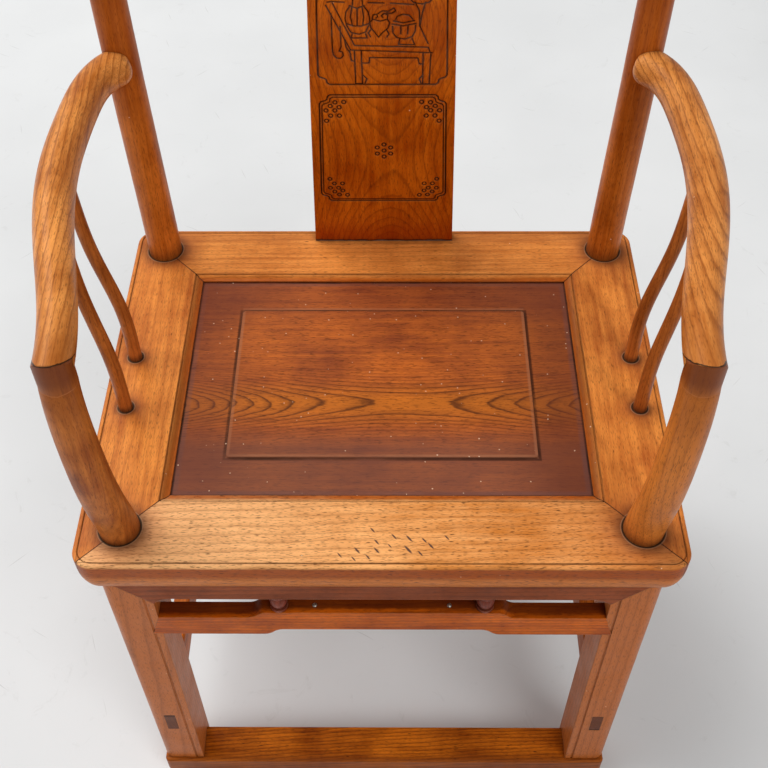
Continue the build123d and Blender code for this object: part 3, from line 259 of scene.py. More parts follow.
def make_wood(name, colours, grain, line, log, ring_mm=6.0, line_strength=0.5, wander_mm=5.0,
              pore_strength=0.45, flecks=0.0, roughness=0.38, wear="#E0AE76", wear_strength=0.35,
              dirt_and_shade_strength=0.55, dust=0.0, tints=(), marks=(), dents=(), carved=False, fade=None):
    """Waxed hardwood: growth rings with wandering grain, broad redder and paler bands, and pores as
    short dark dashes. Hands have worn the edges pale, and old wax, dirt and painted shade darken the corners."""
    light, dark = colours
    material, tree, shader, place = new_material(name)
    along = add_node(tree, "Mapping", {"Vector": place, "Rotation": GRAIN_TURNS[grain]})

    # slow wander of the grain
    stretched = add_node(tree, "Mapping", {"Vector": along, "Scale": WANDER})
    wander = add_node(tree, "TexNoise", {"Vector": stretched, "Scale": 1.0, "Detail": 5.0, "Roughness": 0.58})
    wandering = shaken(tree, along, wander, wander_mm)
    late_wood = growth_rings(tree, wandering, log, ring_mm)

    # paler and darker streaks and patches
    streaked = add_node(tree, "Mapping", {"Vector": wandering, "Scale": STREAKS})
    streaks = add_node(tree, "TexNoise", {"Vector": streaked, "Scale": 1.0, "Detail": 5.0, "Roughness": 0.65})
    patches = add_node(tree, "TexNoise", {"Vector": along, "Scale": PATCHES, "Detail": 4.0, "Roughness": 0.6})
    tone = add_node(tree, "Math", {0: streaks, 1: patches}, operation="ADD")
    tone = add_node(tree, "MapRange", {"Value": tone, "From Min": 0.76, "From Max": 1.24})
    colour = add_node(tree, "Mix", {"Factor": tone, "A": dark, "B": light},
                      data_type="RGBA").outputs["Result"]

    # open pores, as short dashes along the grain
    pores = add_node(tree, "Mapping", {"Vector": along, "Scale": PORES})
    pores = add_node(tree, "TexNoise", {"Vector": pores, "Scale": 1.0, "Detail": 1.0})
    pores = add_node(tree, "MapRange", {"Value": pores, "From Min": 0.56, "From Max": 0.68})

    # worn arrises, found by how far a rounded normal leaves the true one, where hands can reach
    rounded = add_node(tree, "Bevel", {"Radius": 1.5 * MM}, samples=4)
    facing = add_node(tree, "NewGeometry").outputs["Normal"]
    edge = add_node(tree, "VectorMath", {0: rounded, 1: facing}, operation="DOT_PRODUCT").outputs["Value"]
    edge = add_node(tree, "MapRange", {"Value": edge, "From Min": 0.99, "From Max": 0.82})
    blotches = add_node(tree, "TexNoise", {"Vector": place, "Scale": BLOTCHES, "Detail": 5.0})
    patchy = add_node(tree, "MapRange", {"Value": blotches, "From Min": 0.4, "From Max": 0.6})
    open_air = add_node(tree, "AmbientOcclusion", {"Distance": 12 * MM}, samples=6).outputs["AO"]
    worn = add_node(tree, "Math", {0: edge, 1: patchy}, operation="MULTIPLY")
    worn = add_node(tree, "Math", {0: worn, 1: open_air}, operation="MULTIPLY")

    # dirt and painted shade where the wood is closed in, found by ambient occlusion
    closed = add_node(tree, "MapRange", {"Value": open_air, "From Min": 0.80, "From Max": 0.30})
    spotted = add_node(tree, "MapRange", {"Value": blotches, "From Min": 0.25, "From Max": 0.55})
    dirt_and_shade = add_node(tree, "Math", {0: closed, 1: spotted}, operation="MULTIPLY")

    # coats of colour from the bottom one up: tints, some of them painted light and shade, grain, stains and
    # joint lines with some painted shade, highlight and reflection, dirt and painted shade, dust, damage
    spot = shaken(tree, place, blotches, STAIN_REACH)
    calm_spot = shaken(tree, place, blotches, TINT_REACH)
    split = add_node(tree, "SeparateXYZ", {0: place}).outputs
    either_side = add_node(tree, "Math", {0: split["X"]}, operation="ABSOLUTE")
    flat = add_node(tree, "CombineXYZ", {"X": either_side, "Y": split["Y"]})
    coats = [(mark_mask(tree, calm_spot, flat, shape, numbers), tint, strength)
             for shape, numbers, tint, strength in tints]
    if fade:
        # the rings show less and less away from the heart of a wide board
        away = mark_mask(tree, spot, flat, "away", fade)
        late_wood = add_node(tree, "Math", {0: late_wood, 1: away}, operation="MULTIPLY")
    coats += [
        (late_wood, line, line_strength),
        (pores, "#3A1A0C", pore_strength),
        (worn, wear, wear_strength),
    ]
    if flecks:
        # sparse dark flecks in loose groups
        cells = add_node(tree, "Mapping", {"Vector": wandering, "Scale": FLECKS})
        limit = add_node(tree, "MapRange", {"Value": patches, "From Min": 0.35, "From Max": 0.65,
                                            "To Min": 1.0, "To Max": 1.0 - 2 * flecks})
        coats.append((specks(tree, cells, 1.0, 0.24, 0.12, limit), "#2E1408", 0.8))
    for shape, numbers, tint, strength in marks:
        mask = mark_mask(tree, spot, flat, shape, numbers)
        if shape == "frame":
            # lines round a rectangle come and go
            broken = add_node(tree, "MapRange", {"Value": patches, "From Min": 0.36, "From Max": 0.60,
                                                 "To Min": 0.35, "To Max": 1.0})
            mask = add_node(tree, "Math", {0: mask, 1: broken}, operation="MULTIPLY")
        coats.append((mask, tint, strength))
    # dirt and painted shade darken the closed-in corners
    coats.append((dirt_and_shade, "#1E0E09", dirt_and_shade_strength))
    if dust:
        # pale dust and paint, in specks under a millimetre across
        coats.append((specks(tree, spot, DUST, 0.10, 0.04, 1.0 - dust), "#E8C8A8", 0.8))
    if dents:
        coats.append((dent_mask(tree, place, dents), "#3A2A30", 0.9))
    if carved:
        # cuts are painted darkest and reddest, as wax and painted shade in the grooves, and grey dust lies
        # out of reach higher up
        cut = add_node(tree, "Attribute", attribute_name="cut").outputs["Fac"]
        high = mark_mask(tree, spot, flat, "z", [SEAT_TOP + height for height in DUSTY_CUTS])
        dusty = add_node(tree, "Math", {0: cut, 1: high}, operation="MULTIPLY")
        dusty = add_node(tree, "Math", {0: dusty, 1: patchy}, operation="MULTIPLY")
        coats += [(cut, "#1E0503", 1.0), (dusty, "#7A5A4A", 0.45)]
    for mask, tint, strength in coats:
        share = add_node(tree, "Math", {0: mask, 1: strength}, operation="MULTIPLY", use_clamp=True)
        colour = add_node(tree, "Mix", {"Factor": share, "A": colour, "B": linear(tint)},
                          data_type="RGBA").outputs["Result"]

    # thin hand-rubbed wax, slightly uneven, duller where there is dirt and painted shade
    gloss = add_node(tree, "TexNoise", {"Vector": place, "Scale": GLOSS_PATCHES, "Detail": 4.0})
    gloss = add_node(tree, "MapRange", {"Value": gloss, "From Min": 0.3, "From Max": 0.7,
                                        "To Min": roughness - 0.06, "To Max": roughness + 0.10})
    gloss = add_node(tree, "Math", {0: dirt_and_shade, 1: 0.25, 2: gloss}, operation="MULTIPLY_ADD")
    grooves = add_node(tree, "Math", {0: late_wood, 1: 0.3, 2: pores}, operation="MULTIPLY_ADD")
    relief = add_node(tree, "Bump", {"Height": grooves, "Strength": 0.3, "Distance": 0.12 * MM,
                                     "Normal": rounded}, invert=True)
    set_inputs(tree, shader, {
        "Base Color": colour,
        "Roughness": gloss,
        "Normal": relief,
        "Specular IOR Level": 0.16,
        "Specular Tint": linear("#FFDCA8"),
        "Coat Weight": 0.04,
        "Coat Roughness": 0.22,
    })
    return material


def foot_marks(*feet):
    """Marks round posts or spindles: a wide reddish stain, a dark ring, a pale waxed rim and a thin
    black line against the post."""
    marks = []
    for x, y, radius in feet:
        reach = 0.55 * radius + 5.0
        marks += [
            ("foot", (x, y, radius + 2.4 * reach, radius), "#9A4E2A", 0.45),
            ("foot", (x, y, radius + reach, radius + 0.5), "#4A241A", 0.55),
            ("foot", (x, y, radius + 2.9, radius + 2.3), "#B88A68", 0.40),
            ("foot", (x, y, radius + 2.1, radius + 1.2), "#140A08", 0.85),
        ]
    return marks


# The mitre joints run at 45 degrees from the corners of the seat
DIAGONAL = math.sqrt(0.5)
MITRES = (
    ("seam", (DIAGONAL, DIAGONAL, (SEAT_SIDE + SEAT_FRONT) * DIAGONAL, 0.55), "#24100A", 0.85),
    ("seam", (DIAGONAL, -DIAGONAL, (SEAT_SIDE - SEAT_REAR) * DIAGONAL, 0.55), "#24100A", 0.85),
)
# The moulded edge: painted shade, dark and red, under its lip, and painted light, paler, towards its foot
EDGE_SHADE_AND_LIGHT = (
    ("z", (SEAT_TOP - 0.6, SEAT_TOP - 4.0), "#A04400", 0.95),
    ("z", (SEAT_TOP - 14.0, SEAT_TOP - 25.0), "#D07830", 0.85),
)
# Dents in the front rail: x, y from the front and half length, their slant and width to length
SEAT_DENTS = ((-8, 41, 3.2), (12, 34, 3.6), (26, 32, 4.2), (40, 30, 3.4), (61, 33, 3.0), (-4, 28, 3.4),
              (46, 24, 4.0), (25, 20, 5.2), (36, 16, 3.4), (-4, 19, 3.8), (-22, 19, 4.0), (-25, 10, 3.0),
              (-12, 12, 3.2), (8, 24, 2.6), (-38, 14, 3.0))
DENT_TURN = -51.0
DENT_WIDTH = 0.24

# Lines left by the planes on the edge, the bead, the panel and its field, and strips beside them
EDGE_LINE = ("frame", (SEAT_SIDE - 5.5, SEAT_FRONT + 5.5, SEAT_REAR - 5.5, 0.9), "#3C1608", 0.55)
BEAD_LINE = ("frame", (212.0, SEAT_FRONT + 73.0, SEAT_REAR - 73.0, 0.9), "#2A0F08", 0.6)
BEAD_STAIN = ("frame", (207.4, SEAT_FRONT + 77.6, SEAT_REAR - 77.6, 5.0), "#7A441C", 0.6)
PANEL_LINE = ("frame", (202.6, SEAT_FRONT + 82.4, SEAT_REAR - 82.4, 2.2), "#1A0C0A", 0.8)
PANEL_WAX = ("frame", (200.0, SEAT_FRONT + 85.0, SEAT_REAR - 85.0, 5.0), "#4E4248", 0.35)
# round the field: a dark line of painted shade at its step, and a pale strip of wear with a painted highlight
FIELD_SHADE_LINE = ("frame", (155.6, SEAT_FRONT + 126.4, SEAT_REAR - 126.4, 2.4), "#2A100C", 0.8)
FIELD_WEAR_AND_HIGHLIGHT = ("frame", (152.6, SEAT_FRONT + 129.4, SEAT_REAR - 124.0, 2.6), "#A87050", 0.40)

# The slanting joint between arm and front post, and below it the ring on the post where its dark
# old polish ends
ARM_JOINT = ("slope", (SEAT_FRONT + 22.0, 791.5, 30.0, 0.55), "#1C0C08", 0.85)
POST_RING = 767.0

# The heart of the seat panel's board, where its arches are, in y
PANEL_HEART = -38.0

# Aprons and battens are little handled and dull, posts straight-grained, stretchers a little polished
APRON = dict(line="#3C1810", ring_mm=5.0, log=((0, -400, 300), (0.0, 0.02), 0.0), line_strength=0.35,
             roughness=0.5)
POST = dict(grain="Z", log=((0, 150, 120), (0.02, 0.02), 0.0), dust=0.05)
STRETCHER = dict(line="#48200C", ring_mm=5.0, log=((0, -300, 250), (0.0, 0.03), 0.0), roughness=0.42)

# Each wood: colours of its paler and darker bands, a label for the panel, and how it is sawn
WOODS = {
    # dense yellow-brown hardwood, planed and waxed, bleached by hands, knees and light
    "seat_front": ("#F8B06A", "#CC7E36", "Front rail", dict(
        grain="X", line="#7A4218", ring_mm=7.0, log=((60, 240, 150), (0.02, 0.03), 0.0), line_strength=0.30,
        wander_mm=10.0, pore_strength=0.7, flecks=0.16, wear_strength=0.10, dents=SEAT_DENTS, dust=0.03,
        # painted sheen pales the left of the rail and painted shade darkens its right, where the key light
        # from the back left falls
        tints=(("x", (80.0, -230.0), "#FFCC94", 0.50), ("x", (-60.0, 260.0), "#B05C1C", 0.5), *EDGE_SHADE_AND_LIGHT),
        marks=(*foot_marks(FRONT_POST_FOOT), *MITRES, EDGE_LINE, BEAD_LINE))),
    "seat_rear": ("#F09848", "#C26E2C", "Rear rail", dict(
        grain="X", line="#6E3212", log=((100, -240, 190), (0.02, 0.04), 0.0), line_strength=0.28,
        wander_mm=10.0, flecks=0.05, wear_strength=0.12, dust=0.03, tints=EDGE_SHADE_AND_LIGHT,
        marks=(*foot_marks(REAR_POST_FOOT), *MITRES, EDGE_LINE, BEAD_LINE,
               ("y", (SEAT_REAR - 30.0, SEAT_REAR - 12.0), "#7E3C20", 0.35)))),
    "seat_side": ("#E48C3E", "#A85420", "Side rails", dict(
        grain="Y", line="#6A3010", log=((0, -200, 190), (0.05, 0.03), 0.0), line_strength=0.22,
        wander_mm=10.0, flecks=0.04, wear_strength=0.12, dust=0.05, tints=EDGE_SHADE_AND_LIGHT,
        marks=(*MITRES, *foot_marks(FRONT_POST_FOOT, REAR_POST_FOOT, FRONT_SPINDLE_FOOT, REAR_SPINDLE_FOOT),
               EDGE_LINE, BEAD_STAIN, BEAD_LINE))),
    # one wide board, sawn across its heart, dark and dry with strong arches in the middle
    "panel": ("#C46628", "#864022", "Seat panel", dict(
        grain="X", line="#2C1012", ring_mm=2.6, log=((25, PANEL_HEART, 481.95), (0.0, 0.0), -0.44),
        line_strength=0.76, wander_mm=4.0, fade=(PANEL_HEART, 16.0, 50.0, 0.22), pore_strength=0.6,
        roughness=0.43, wear="#B08A6C", wear_strength=0.55, dirt_and_shade_strength=0.85, dust=0.6,
        tints=(("away", (PANEL_HEART, 4.0, 30.0, 0.0), "#CE7420", 0.6),),
        # the first of these marks, greyish over the front of the panel, is a painted reflection
        marks=(("y", (-62.0, -100.0), "#6A4238", 0.70), ("x", (-110.0, -185.0), "#683428", 0.45),
               ("x", (100.0, 190.0), "#66301E", 0.60), ("y", (60.0, 110.0), "#703424", 0.45),
               FIELD_WEAR_AND_HIGHLIGHT, FIELD_SHADE_LINE, PANEL_WAX, PANEL_LINE))),
    # back board, warm and polished, with broad open arches
    "splat": ("#D2680E", "#A04000", "Back splat", dict(
        grain="Z_FLAT", line="#6A2402", log=((650, 8, 255.5), (0.0, 0.0), 2.2),
        line_strength=0.42, roughness=0.36, wander_mm=7.0, dirt_and_shade_strength=0.7, dust=0.06, carved=True,
        marks=(("z", (SEAT_TOP + 45.0, SEAT_TOP + 4.0), "#861C02", 0.55),
               ("z", (SEAT_TOP + 3.4, SEAT_TOP + 2.6), "#1C0A06", 0.85),
               ("z", (SEAT_TOP + 1.8, SEAT_TOP + 1.2), "#A08878", 0.60)))),
    # straight-grained, shaped with the spokeshave and polished by hands
    "front_posts": ("#C87430", "#8E4414", "Front legs", dict(
        **POST, line="#5E260A", line_strength=0.28, roughness=0.36,
        tints=(("x", (100.0, 230.0), "#E08434", 0.45),
               ("z", (SEAT_FOOT + 2.0, SEAT_FOOT - 2.0), "#F68C44", 0.9)),
        marks=(("z", (SEAT_TOP + 22.0, SEAT_TOP + 2.0), "#5A2810", 0.5),
               ("z", (POST_RING - 60.0, POST_RING - 4.0), "#86441A", 0.5),
               ("z", (POST_RING - 8.0, POST_RING + 14.0), "#5E240E", 0.72),
               ("band", (POST_RING - 0.5, 0.45), "#B0683C", 0.5),
               ARM_JOINT))),
    "rear_posts": ("#D27428", "#9C4A0C", "Rear legs", dict(
        **POST, line="#5E2408", line_strength=0.25, roughness=0.34,
        marks=(("z", (SEAT_TOP + 25.0, SEAT_TOP + 2.0), "#4E200E", 0.55),
               ("z", (SEAT_TOP + 100.0, SEAT_TOP + 380.0), "#8A3604", 0.6)))),
    "arms": ("#E8984C", "#AA5E22", "Arms", dict(
        grain="Y", line="#7A3A12", log=((0, -160, 700), (0.03, 0.05), 0.0), line_strength=0.6,
        roughness=0.34, wander_mm=9.0, dust=0.03,
        marks=(("y", (SEAT_FRONT + 80.0, SEAT_FRONT + 10.0), "#9C5620", 0.55), ARM_JOINT))),
    "spindles": ("#BE6A2C", "#8E4818", "Spindles", dict(
        grain="Z", line="#6A2C0C", ring_mm=5.0, log=((0, 150, 120), (0.0, 0.0), 0.0), line_strength=0.4,
        roughness=0.36, marks=(("z", (SEAT_TOP + 12.0, SEAT_TOP + 1.0), "#4A2012", 0.6),))),
    "crest": ("#BE6A2A", "#8C4416", "Crest rail", dict(
        grain="X", line="#6A2E0E", log=((0, 140, 1000), (0.03, 0.0), 0.0), line_strength=0.35,
        roughness=0.34)),
    # under the seat: duller and redder, little handled
    "aprons_across": ("#9A4C26", "#723216", "Aprons", dict(grain="X", **APRON)),
    "aprons_along": ("#9A4C26", "#723216", "Side aprons", dict(grain="Y", **APRON)),
    "hump_front": ("#DA6A10", "#9C4004", "Front stretcher", dict(
        **STRETCHER, grain="X", line_strength=0.4,
        # painted shade darkens the top of the stretcher, under the seat
        marks=(("y", (SEAT_FRONT + 20.5, SEAT_FRONT + 25.0), "#44160A", 0.75),))),
    "footrest": ("#DA7418", "#8A3E0A", "Footrest", dict(
        grain="X", line="#3C1A0A", ring_mm=4.0, log=((40, -60, 120), (0.01, 0.06), 0.12), line_strength=0.6,
        wander_mm=9.0, flecks=0.08, roughness=0.42,
        marks=(("y", (SEAT_FRONT + 26.0, SEAT_FRONT + 15.0), "#6E3414", 0.5),))),
    "stretchers_along": ("#C8661C", "#8C3E0C", "Side stretchers", dict(
        **STRETCHER, grain="Y", marks=(("y", (SEAT_FRONT + 34.0, SEAT_FRONT + 26.0), "#4A2418", 0.8),))),
    "struts": ("#8A4030", "#602820", "Turned struts", dict(
        grain="Z", line="#40180F", ring_mm=3.0, log=((0, 20, 300), (0.0, 0.02), 0.0), line_strength=0.3,
        roughness=0.36)),
    "end_grain": ("#5A2C1A", "#3C1C12", "Wedges and pegs", dict(
        grain="Y", line="#1E0C08", ring_mm=1.5, log=((0, 200, 300), (0.0, 0.0), 0.0), line_strength=0.4,
        roughness=0.55)),
}
woods = {}


def wood(name):
    """The material of that name, made when it is first asked for."""
    if name not in woods:
        finish = bpy.context.scene.armchair_finish
        colours = [(*getattr(finish, f"{name}_{band}"), 1.0) for band in ("light", "dark")]
        *_, sawing = WOODS[name]
        woods[name] = make_wood(f"waxed_hardwood_{name}", colours, **sawing)
    return woods[name]


def finish_nodes(wood_name, *nodes):
    """Give CAD nodes a wood."""
    for name in nodes:
        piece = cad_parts[name]
        piece.data.materials.clear()
        piece.data.materials.append(wood(wood_name))


def sides(*names):
    """The left-hand and right-hand nodes of each name."""
    return [f"{name}_{side}" for name in names for side in ("left", "right")]


def make_iron():
    """Old wrought iron of the nail heads: dark and rough, worn bright in spots under 2 mm across."""
    material, tree, shader, place = new_material("worn_nail_iron")
    bright = add_node(tree, "TexNoise", {"Vector": place, "Scale": IRON_SPOTS, "Detail": 4.0})
    bright = add_node(tree, "MapRange", {"Value": bright, "From Min": 0.42, "From Max": 0.55})
    colour = add_node(tree, "Mix", {"Factor": bright, "A": linear("#3A2A24"), "B": linear("#B8B0A6")},
                      data_type="RGBA").outputs["Result"]
    set_inputs(tree, shader, {"Base Color": colour, "Metallic": bright, "Roughness": 0.42})
    return material


# ---- Carving of the splat: places are (x, height over the seat) in mm ----
SPLAT_THICKNESS = 13.0
SPLAT_ARRIS = 1.2
SPLAT_FOOT_HALF = node_box("back_splat")[1].x
SPLAT_TOP_HALF = 65.0
SPLAT_RISE = node_box("back_splat")[1].z - SEAT_TOP
# the three carved panels, each from its foot to its top, how far they stay from the edges, and how
# far inside the lowest one its thin second line runs
PANELS = ((64.0, 207.0), (219.5, 425.0), (438.0, 505.0))
PANEL_MARGIN = 9.0
INNER_LINE = 2.6
# an indented corner of a panel, counted inwards from its corner
INDENT = ((0, 11), (1.5, 8.5), (6, 7), (8, 5.5), (8.6, 2), (11, 0))
# one corner's rings, counted inwards from the corner of the lower panel, and those in its middle
RING_RADIUS = 2.1
CORNER_RINGS = ((16, 9), (25, 8.5), (11, 13.5), (20, 15), (6.5, 19), (15.5, 19), (11, 25.5), (20, 25.5),
                (6.5, 32))
CENTRE_RING = (1.0, 135.8)
CENTRE_SPREAD = 8.2
# each line of carving: half its width and its depth
FRAME_CUT = (0.95, 1.3)
THIN_CUT = (0.9, 0.6)
RING_CUT = (0.85, 1.0)
SCENE_CUT = (0.8, 1.2)
# the wood beside a cut is pressed in by this much, within about this distance
HOLLOW = (0.22, 2.2)
# lines are measured at this step, and the board is divided once more within each of these distances
LINE_STEP = 0.2
FINER_WITHIN = (4.5, 2.6, 1.6)
# the table, the ribbon and what stands on the table, each line a row of points
TABLE = (
    ((-53.5, 306), (-31, 258.5), (49, 255.5)),
    ((-47, 308), (-27, 263.5), (45, 261.5), (46.8, 256)),
    ((-52, 309), (-48, 309.6), (-36, 309)),
    ((-13, 308.5), (2, 308)),
    ((8, 308), (30, 306.5)),
    ((-27.3, 258), (-27, 220.5), (-20, 220.5), (-20.6, 257)),
    ((40, 255.8), (40.2, 220), (46.8, 220), (47.6, 255.5)),
    ((-20.3, 244), (-13, 244.2), (-12.6, 250.2), (35, 249.6), (36.4, 243), (40, 242.8)),
    ((-32, 258), (-30.5, 247), (-27.5, 246)),
    ((-19, 230), (-15.5, 226), (-17.5, 221)),
    ((40, 230), (36.8, 226), (38.4, 221)),
)
RIBBON = (
    ((-48.6, 297), (-48.8, 258), (-48, 253), (-45, 249.6), (-41, 249.4), (-38.2, 252.4), (-39, 256.4),
     (-42.4, 257.2)),
    ((-40.4, 284), (-40.2, 262), (-42.4, 257.2)),
    ((-36.5, 270), (-35.5, 262), (-31, 254)),
)
VASE = (
    ((-30.5, 305), (-34.4, 299), (-35.4, 292), (-34, 284.5), (-30, 277.5), (-22.5, 275.6), (-16, 278),
     (-12.6, 285), (-11.8, 292), (-13.4, 299.5), (-17.6, 305)),
    ((-33.6, 286.6), (-28, 284.4), (-20, 284.2), (-13, 286.8)),
    ((-31, 305.5), (-24, 302.6), (-17, 305.5)),
    ((-28.6, 304.5), (-30.2, 294), (-28.6, 285)),
    ((-23.6, 303), (-24, 285)),
    ((-19, 304.5), (-17.6, 294), (-18.6, 285)),
    ((-29, 276), (-30, 271.6), (-14.6, 271.6), (-16, 276)),
    ((-28, 306), (-27.4, 318), (-31.5, 325), (-14.5, 325), (-19, 318), (-18.4, 306)),
)
BURNER = (
    ((-11.6, 288), (-11, 282.5), (-7, 277.5), (-3.6, 272.4), (0.5, 277.5), (5.6, 282), (7.4, 287.6),
     (5, 291.4), (-2, 289.4), (-9, 291.4), (-11.6, 288)),
    ((-9.5, 292), (-8.5, 296), (-5, 296.5), (-4.2, 293.8), (-6, 292.6)),
    ((5, 292), (5.6, 295.6), (2, 297.4), (-0.6, 295), (0.8, 293)),
    ((-4, 297), (0, 300), (6, 299.6), (11.4, 303), (13, 300), (9, 297.4), (4, 297.6)),
    ((-10.5, 281), (-13.4, 277), (-11.4, 273)),
    ((4.4, 280), (6.6, 276), (4.6, 272.6)),
)
BOWL = (
    ((10, 284), (10.4, 277), (14, 272), (22, 270.4), (29, 273), (32, 279), (32.2, 285)),
    ((9.4, 286.4), (20, 284.4), (32.6, 287)),
    ((11, 289.6), (20, 287.6), (31, 290)),
    ((13, 291), (14.6, 294.4), (20, 296.6), (26, 295.6), (29.4, 291.4)),
    ((17, 270.6), (16, 264.6), (31.6, 264.2), (29, 271)),
    ((18, 284), (18, 276)),
    ((25, 284.6), (24.6, 276)),
)
DISH = (
    ((31.4, 309), (35.6, 300), (36, 284)),
    ((41.4, 309), (38.4, 298), (36.4, 284), (44.6, 265.5)),
    ((27, 312), (30, 308.4), (38, 307), (45, 309), (48, 313)),
    ((26, 313), (28, 320), (49, 320), (49, 313)),
)
# over the table: a branch, leaves (x, height, turn), blossoms and fruits (x, height, radius)
BRANCH = (
    ((-23, 325), (-22, 345), (-30, 362), (-27, 380), (-34, 398)),
    ((-22, 345), (-12, 358), (-8, 376)),
    ((-30, 362), (-41, 370)),
    ((24, 352), (34, 362), (38, 376), (32, 392)),
)
LEAVES = ((-40, 384, 50), (-16, 372, 120), (-22, 388, 80), (4, 362, 30), (26, 376, 130), (44, 380, 60))
BLOSSOMS = ((-43, 372), (-7, 382), (-34, 404), (31, 397))
FRUITS = ((33, 325.5, 5.0), (43, 325.5, 5.0), (38, 334, 5.0))
# the cloud in the topmost panel
CLOUD = (
    ((-30, 470), (-22, 478), (-12, 474), (-12, 464), (-20, 462), (-20, 470)),
    ((30, 470), (22, 478), (12, 474), (12, 464), (20, 462), (20, 470)),
    ((-12, 476), (-8, 490), (0, 496), (8, 490), (12, 476)),
    ((-30, 470), (-36, 458), (-24, 448), (0, 444), (24, 448), (36, 458), (30, 470)),
)


def splat_half_width(height):
    """Half the splat's width at a height over the seat, between its foot and the crest rail."""
    return SPLAT_FOOT_HALF + (SPLAT_TOP_HALF - SPLAT_FOOT_HALF) * height / SPLAT_RISE


def panel_line(foot, top, inset=0.0):
    """Closed outline of a carved panel with indented corners, following the board's taper."""
    points = []
    for x_side, z_side in ((-1, -1), (-1, 1), (1, 1), (1, -1)):
        corner_z = (foot + inset) if z_side < 0 else (top - inset)
        corner_x = x_side * (splat_half_width(corner_z) - PANEL_MARGIN - inset)
        corner = [(corner_x - x_side * a, corner_z - z_side * b) for a, b in INDENT]
        points += corner if x_side * z_side < 0 else corner[::-1]
    return points + points[:1]


def circle(x, z, radius, steps=12):
    """Closed line round a point."""
    return [(x + radius * math.cos(math.tau * step / steps), z + radius * math.sin(math.tau * step / steps))
            for step in range(steps + 1)]


def leaf(x, z, angle, length=9.0, width=2.6):
    """Closed outline of a pointed leaf."""
    across, up = math.cos(math.radians(angle)), math.sin(math.radians(angle))
    outline = []
    for side in (1, -1):
        for share in (0.0, 0.3, 0.6, 1.0)[::side]:
            u, v = length * (share - 0.5), side * width * math.sin(math.pi * share)
            outline.append((x + u * across - v * up, z + u * up + v * across))
    return outline


def round_about(x, z, spread, count):
    """Places spread round a point, the first of them above it."""
    turns = [math.tau * step / count for step in range(count)]
    return [(x + spread * math.sin(turn), z + spread * math.cos(turn)) for turn in turns]


def splat_cuts():
    """All carved lines as (half width, depth, list of lines), in mm."""
    foot, top = PANELS[0]
    middle = (CENTRE_RING, *round_about(*CENTRE_RING, CENTRE_SPREAD, 6))
    rings = [circle(*place, RING_RADIUS) for place in middle]
    x_corner = splat_half_width(top) - PANEL_MARGIN
    for x_side in (-1, 1):
        for z_side, z_corner in ((1, top), (-1, foot)):
            rings += [circle(x_side * (x_corner - a), z_corner - z_side * b, RING_RADIUS)
                      for a, b in CORNER_RINGS]
    scene = [*TABLE, *RIBBON, *VASE, *BURNER, *BOWL, *DISH, *BRANCH, *CLOUD]
    scene += [leaf(*place) for place in LEAVES] + [circle(*place, 16) for place in FRUITS]
    for x, z in BLOSSOMS:
        scene.append(circle(x, z, 1.3))
        scene += [circle(*petal, 2.2) for petal in round_about(x, z, 3.6, 5)]
    return ((*FRAME_CUT, [panel_line(*panel) for panel in PANELS]),
            (*THIN_CUT, [panel_line(foot, top, INNER_LINE)]), (*RING_CUT, rings), (*SCENE_CUT, scene))


def distance_to_lines(points, lines):
    """Distance in mm from each point to the nearest of the lines."""
    samples = []
    for line in lines:
        for start, end in zip(line, line[1:]):
            steps = max(1, math.ceil(math.dist(start, end) / LINE_STEP))
            samples += [(start[0] + (end[0] - start[0]) * step / steps, 0.0,
                         start[1] + (end[1] - start[1]) * step / steps) for step in range(steps + 1)]
    tree = KDTree(len(samples))
    for index, sample in enumerate(samples):
        tree.insert(sample, index)
    tree.balance()
    return np.array([tree.find((x, 0.0, z))[2] for x, z in points])


def splat_curve():
    """Heights in mm and the places of the splat's front face there, read from its CAD mesh."""
    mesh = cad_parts["back_splat"].data
    places = np.empty(len(mesh.vertices) * 3)
    mesh.vertices.foreach_get("co", places)
    places = places.reshape(-1, 3) / MM
    places = places[places[:, 2] > SEAT_TOP - 0.01]
    heights = np.unique(places[:, 2].round(1))
    fronts = [places[np.abs(places[:, 2] - height) < 0.06][:, 1].min() for height in heights]
    return heights, np.array(fronts)


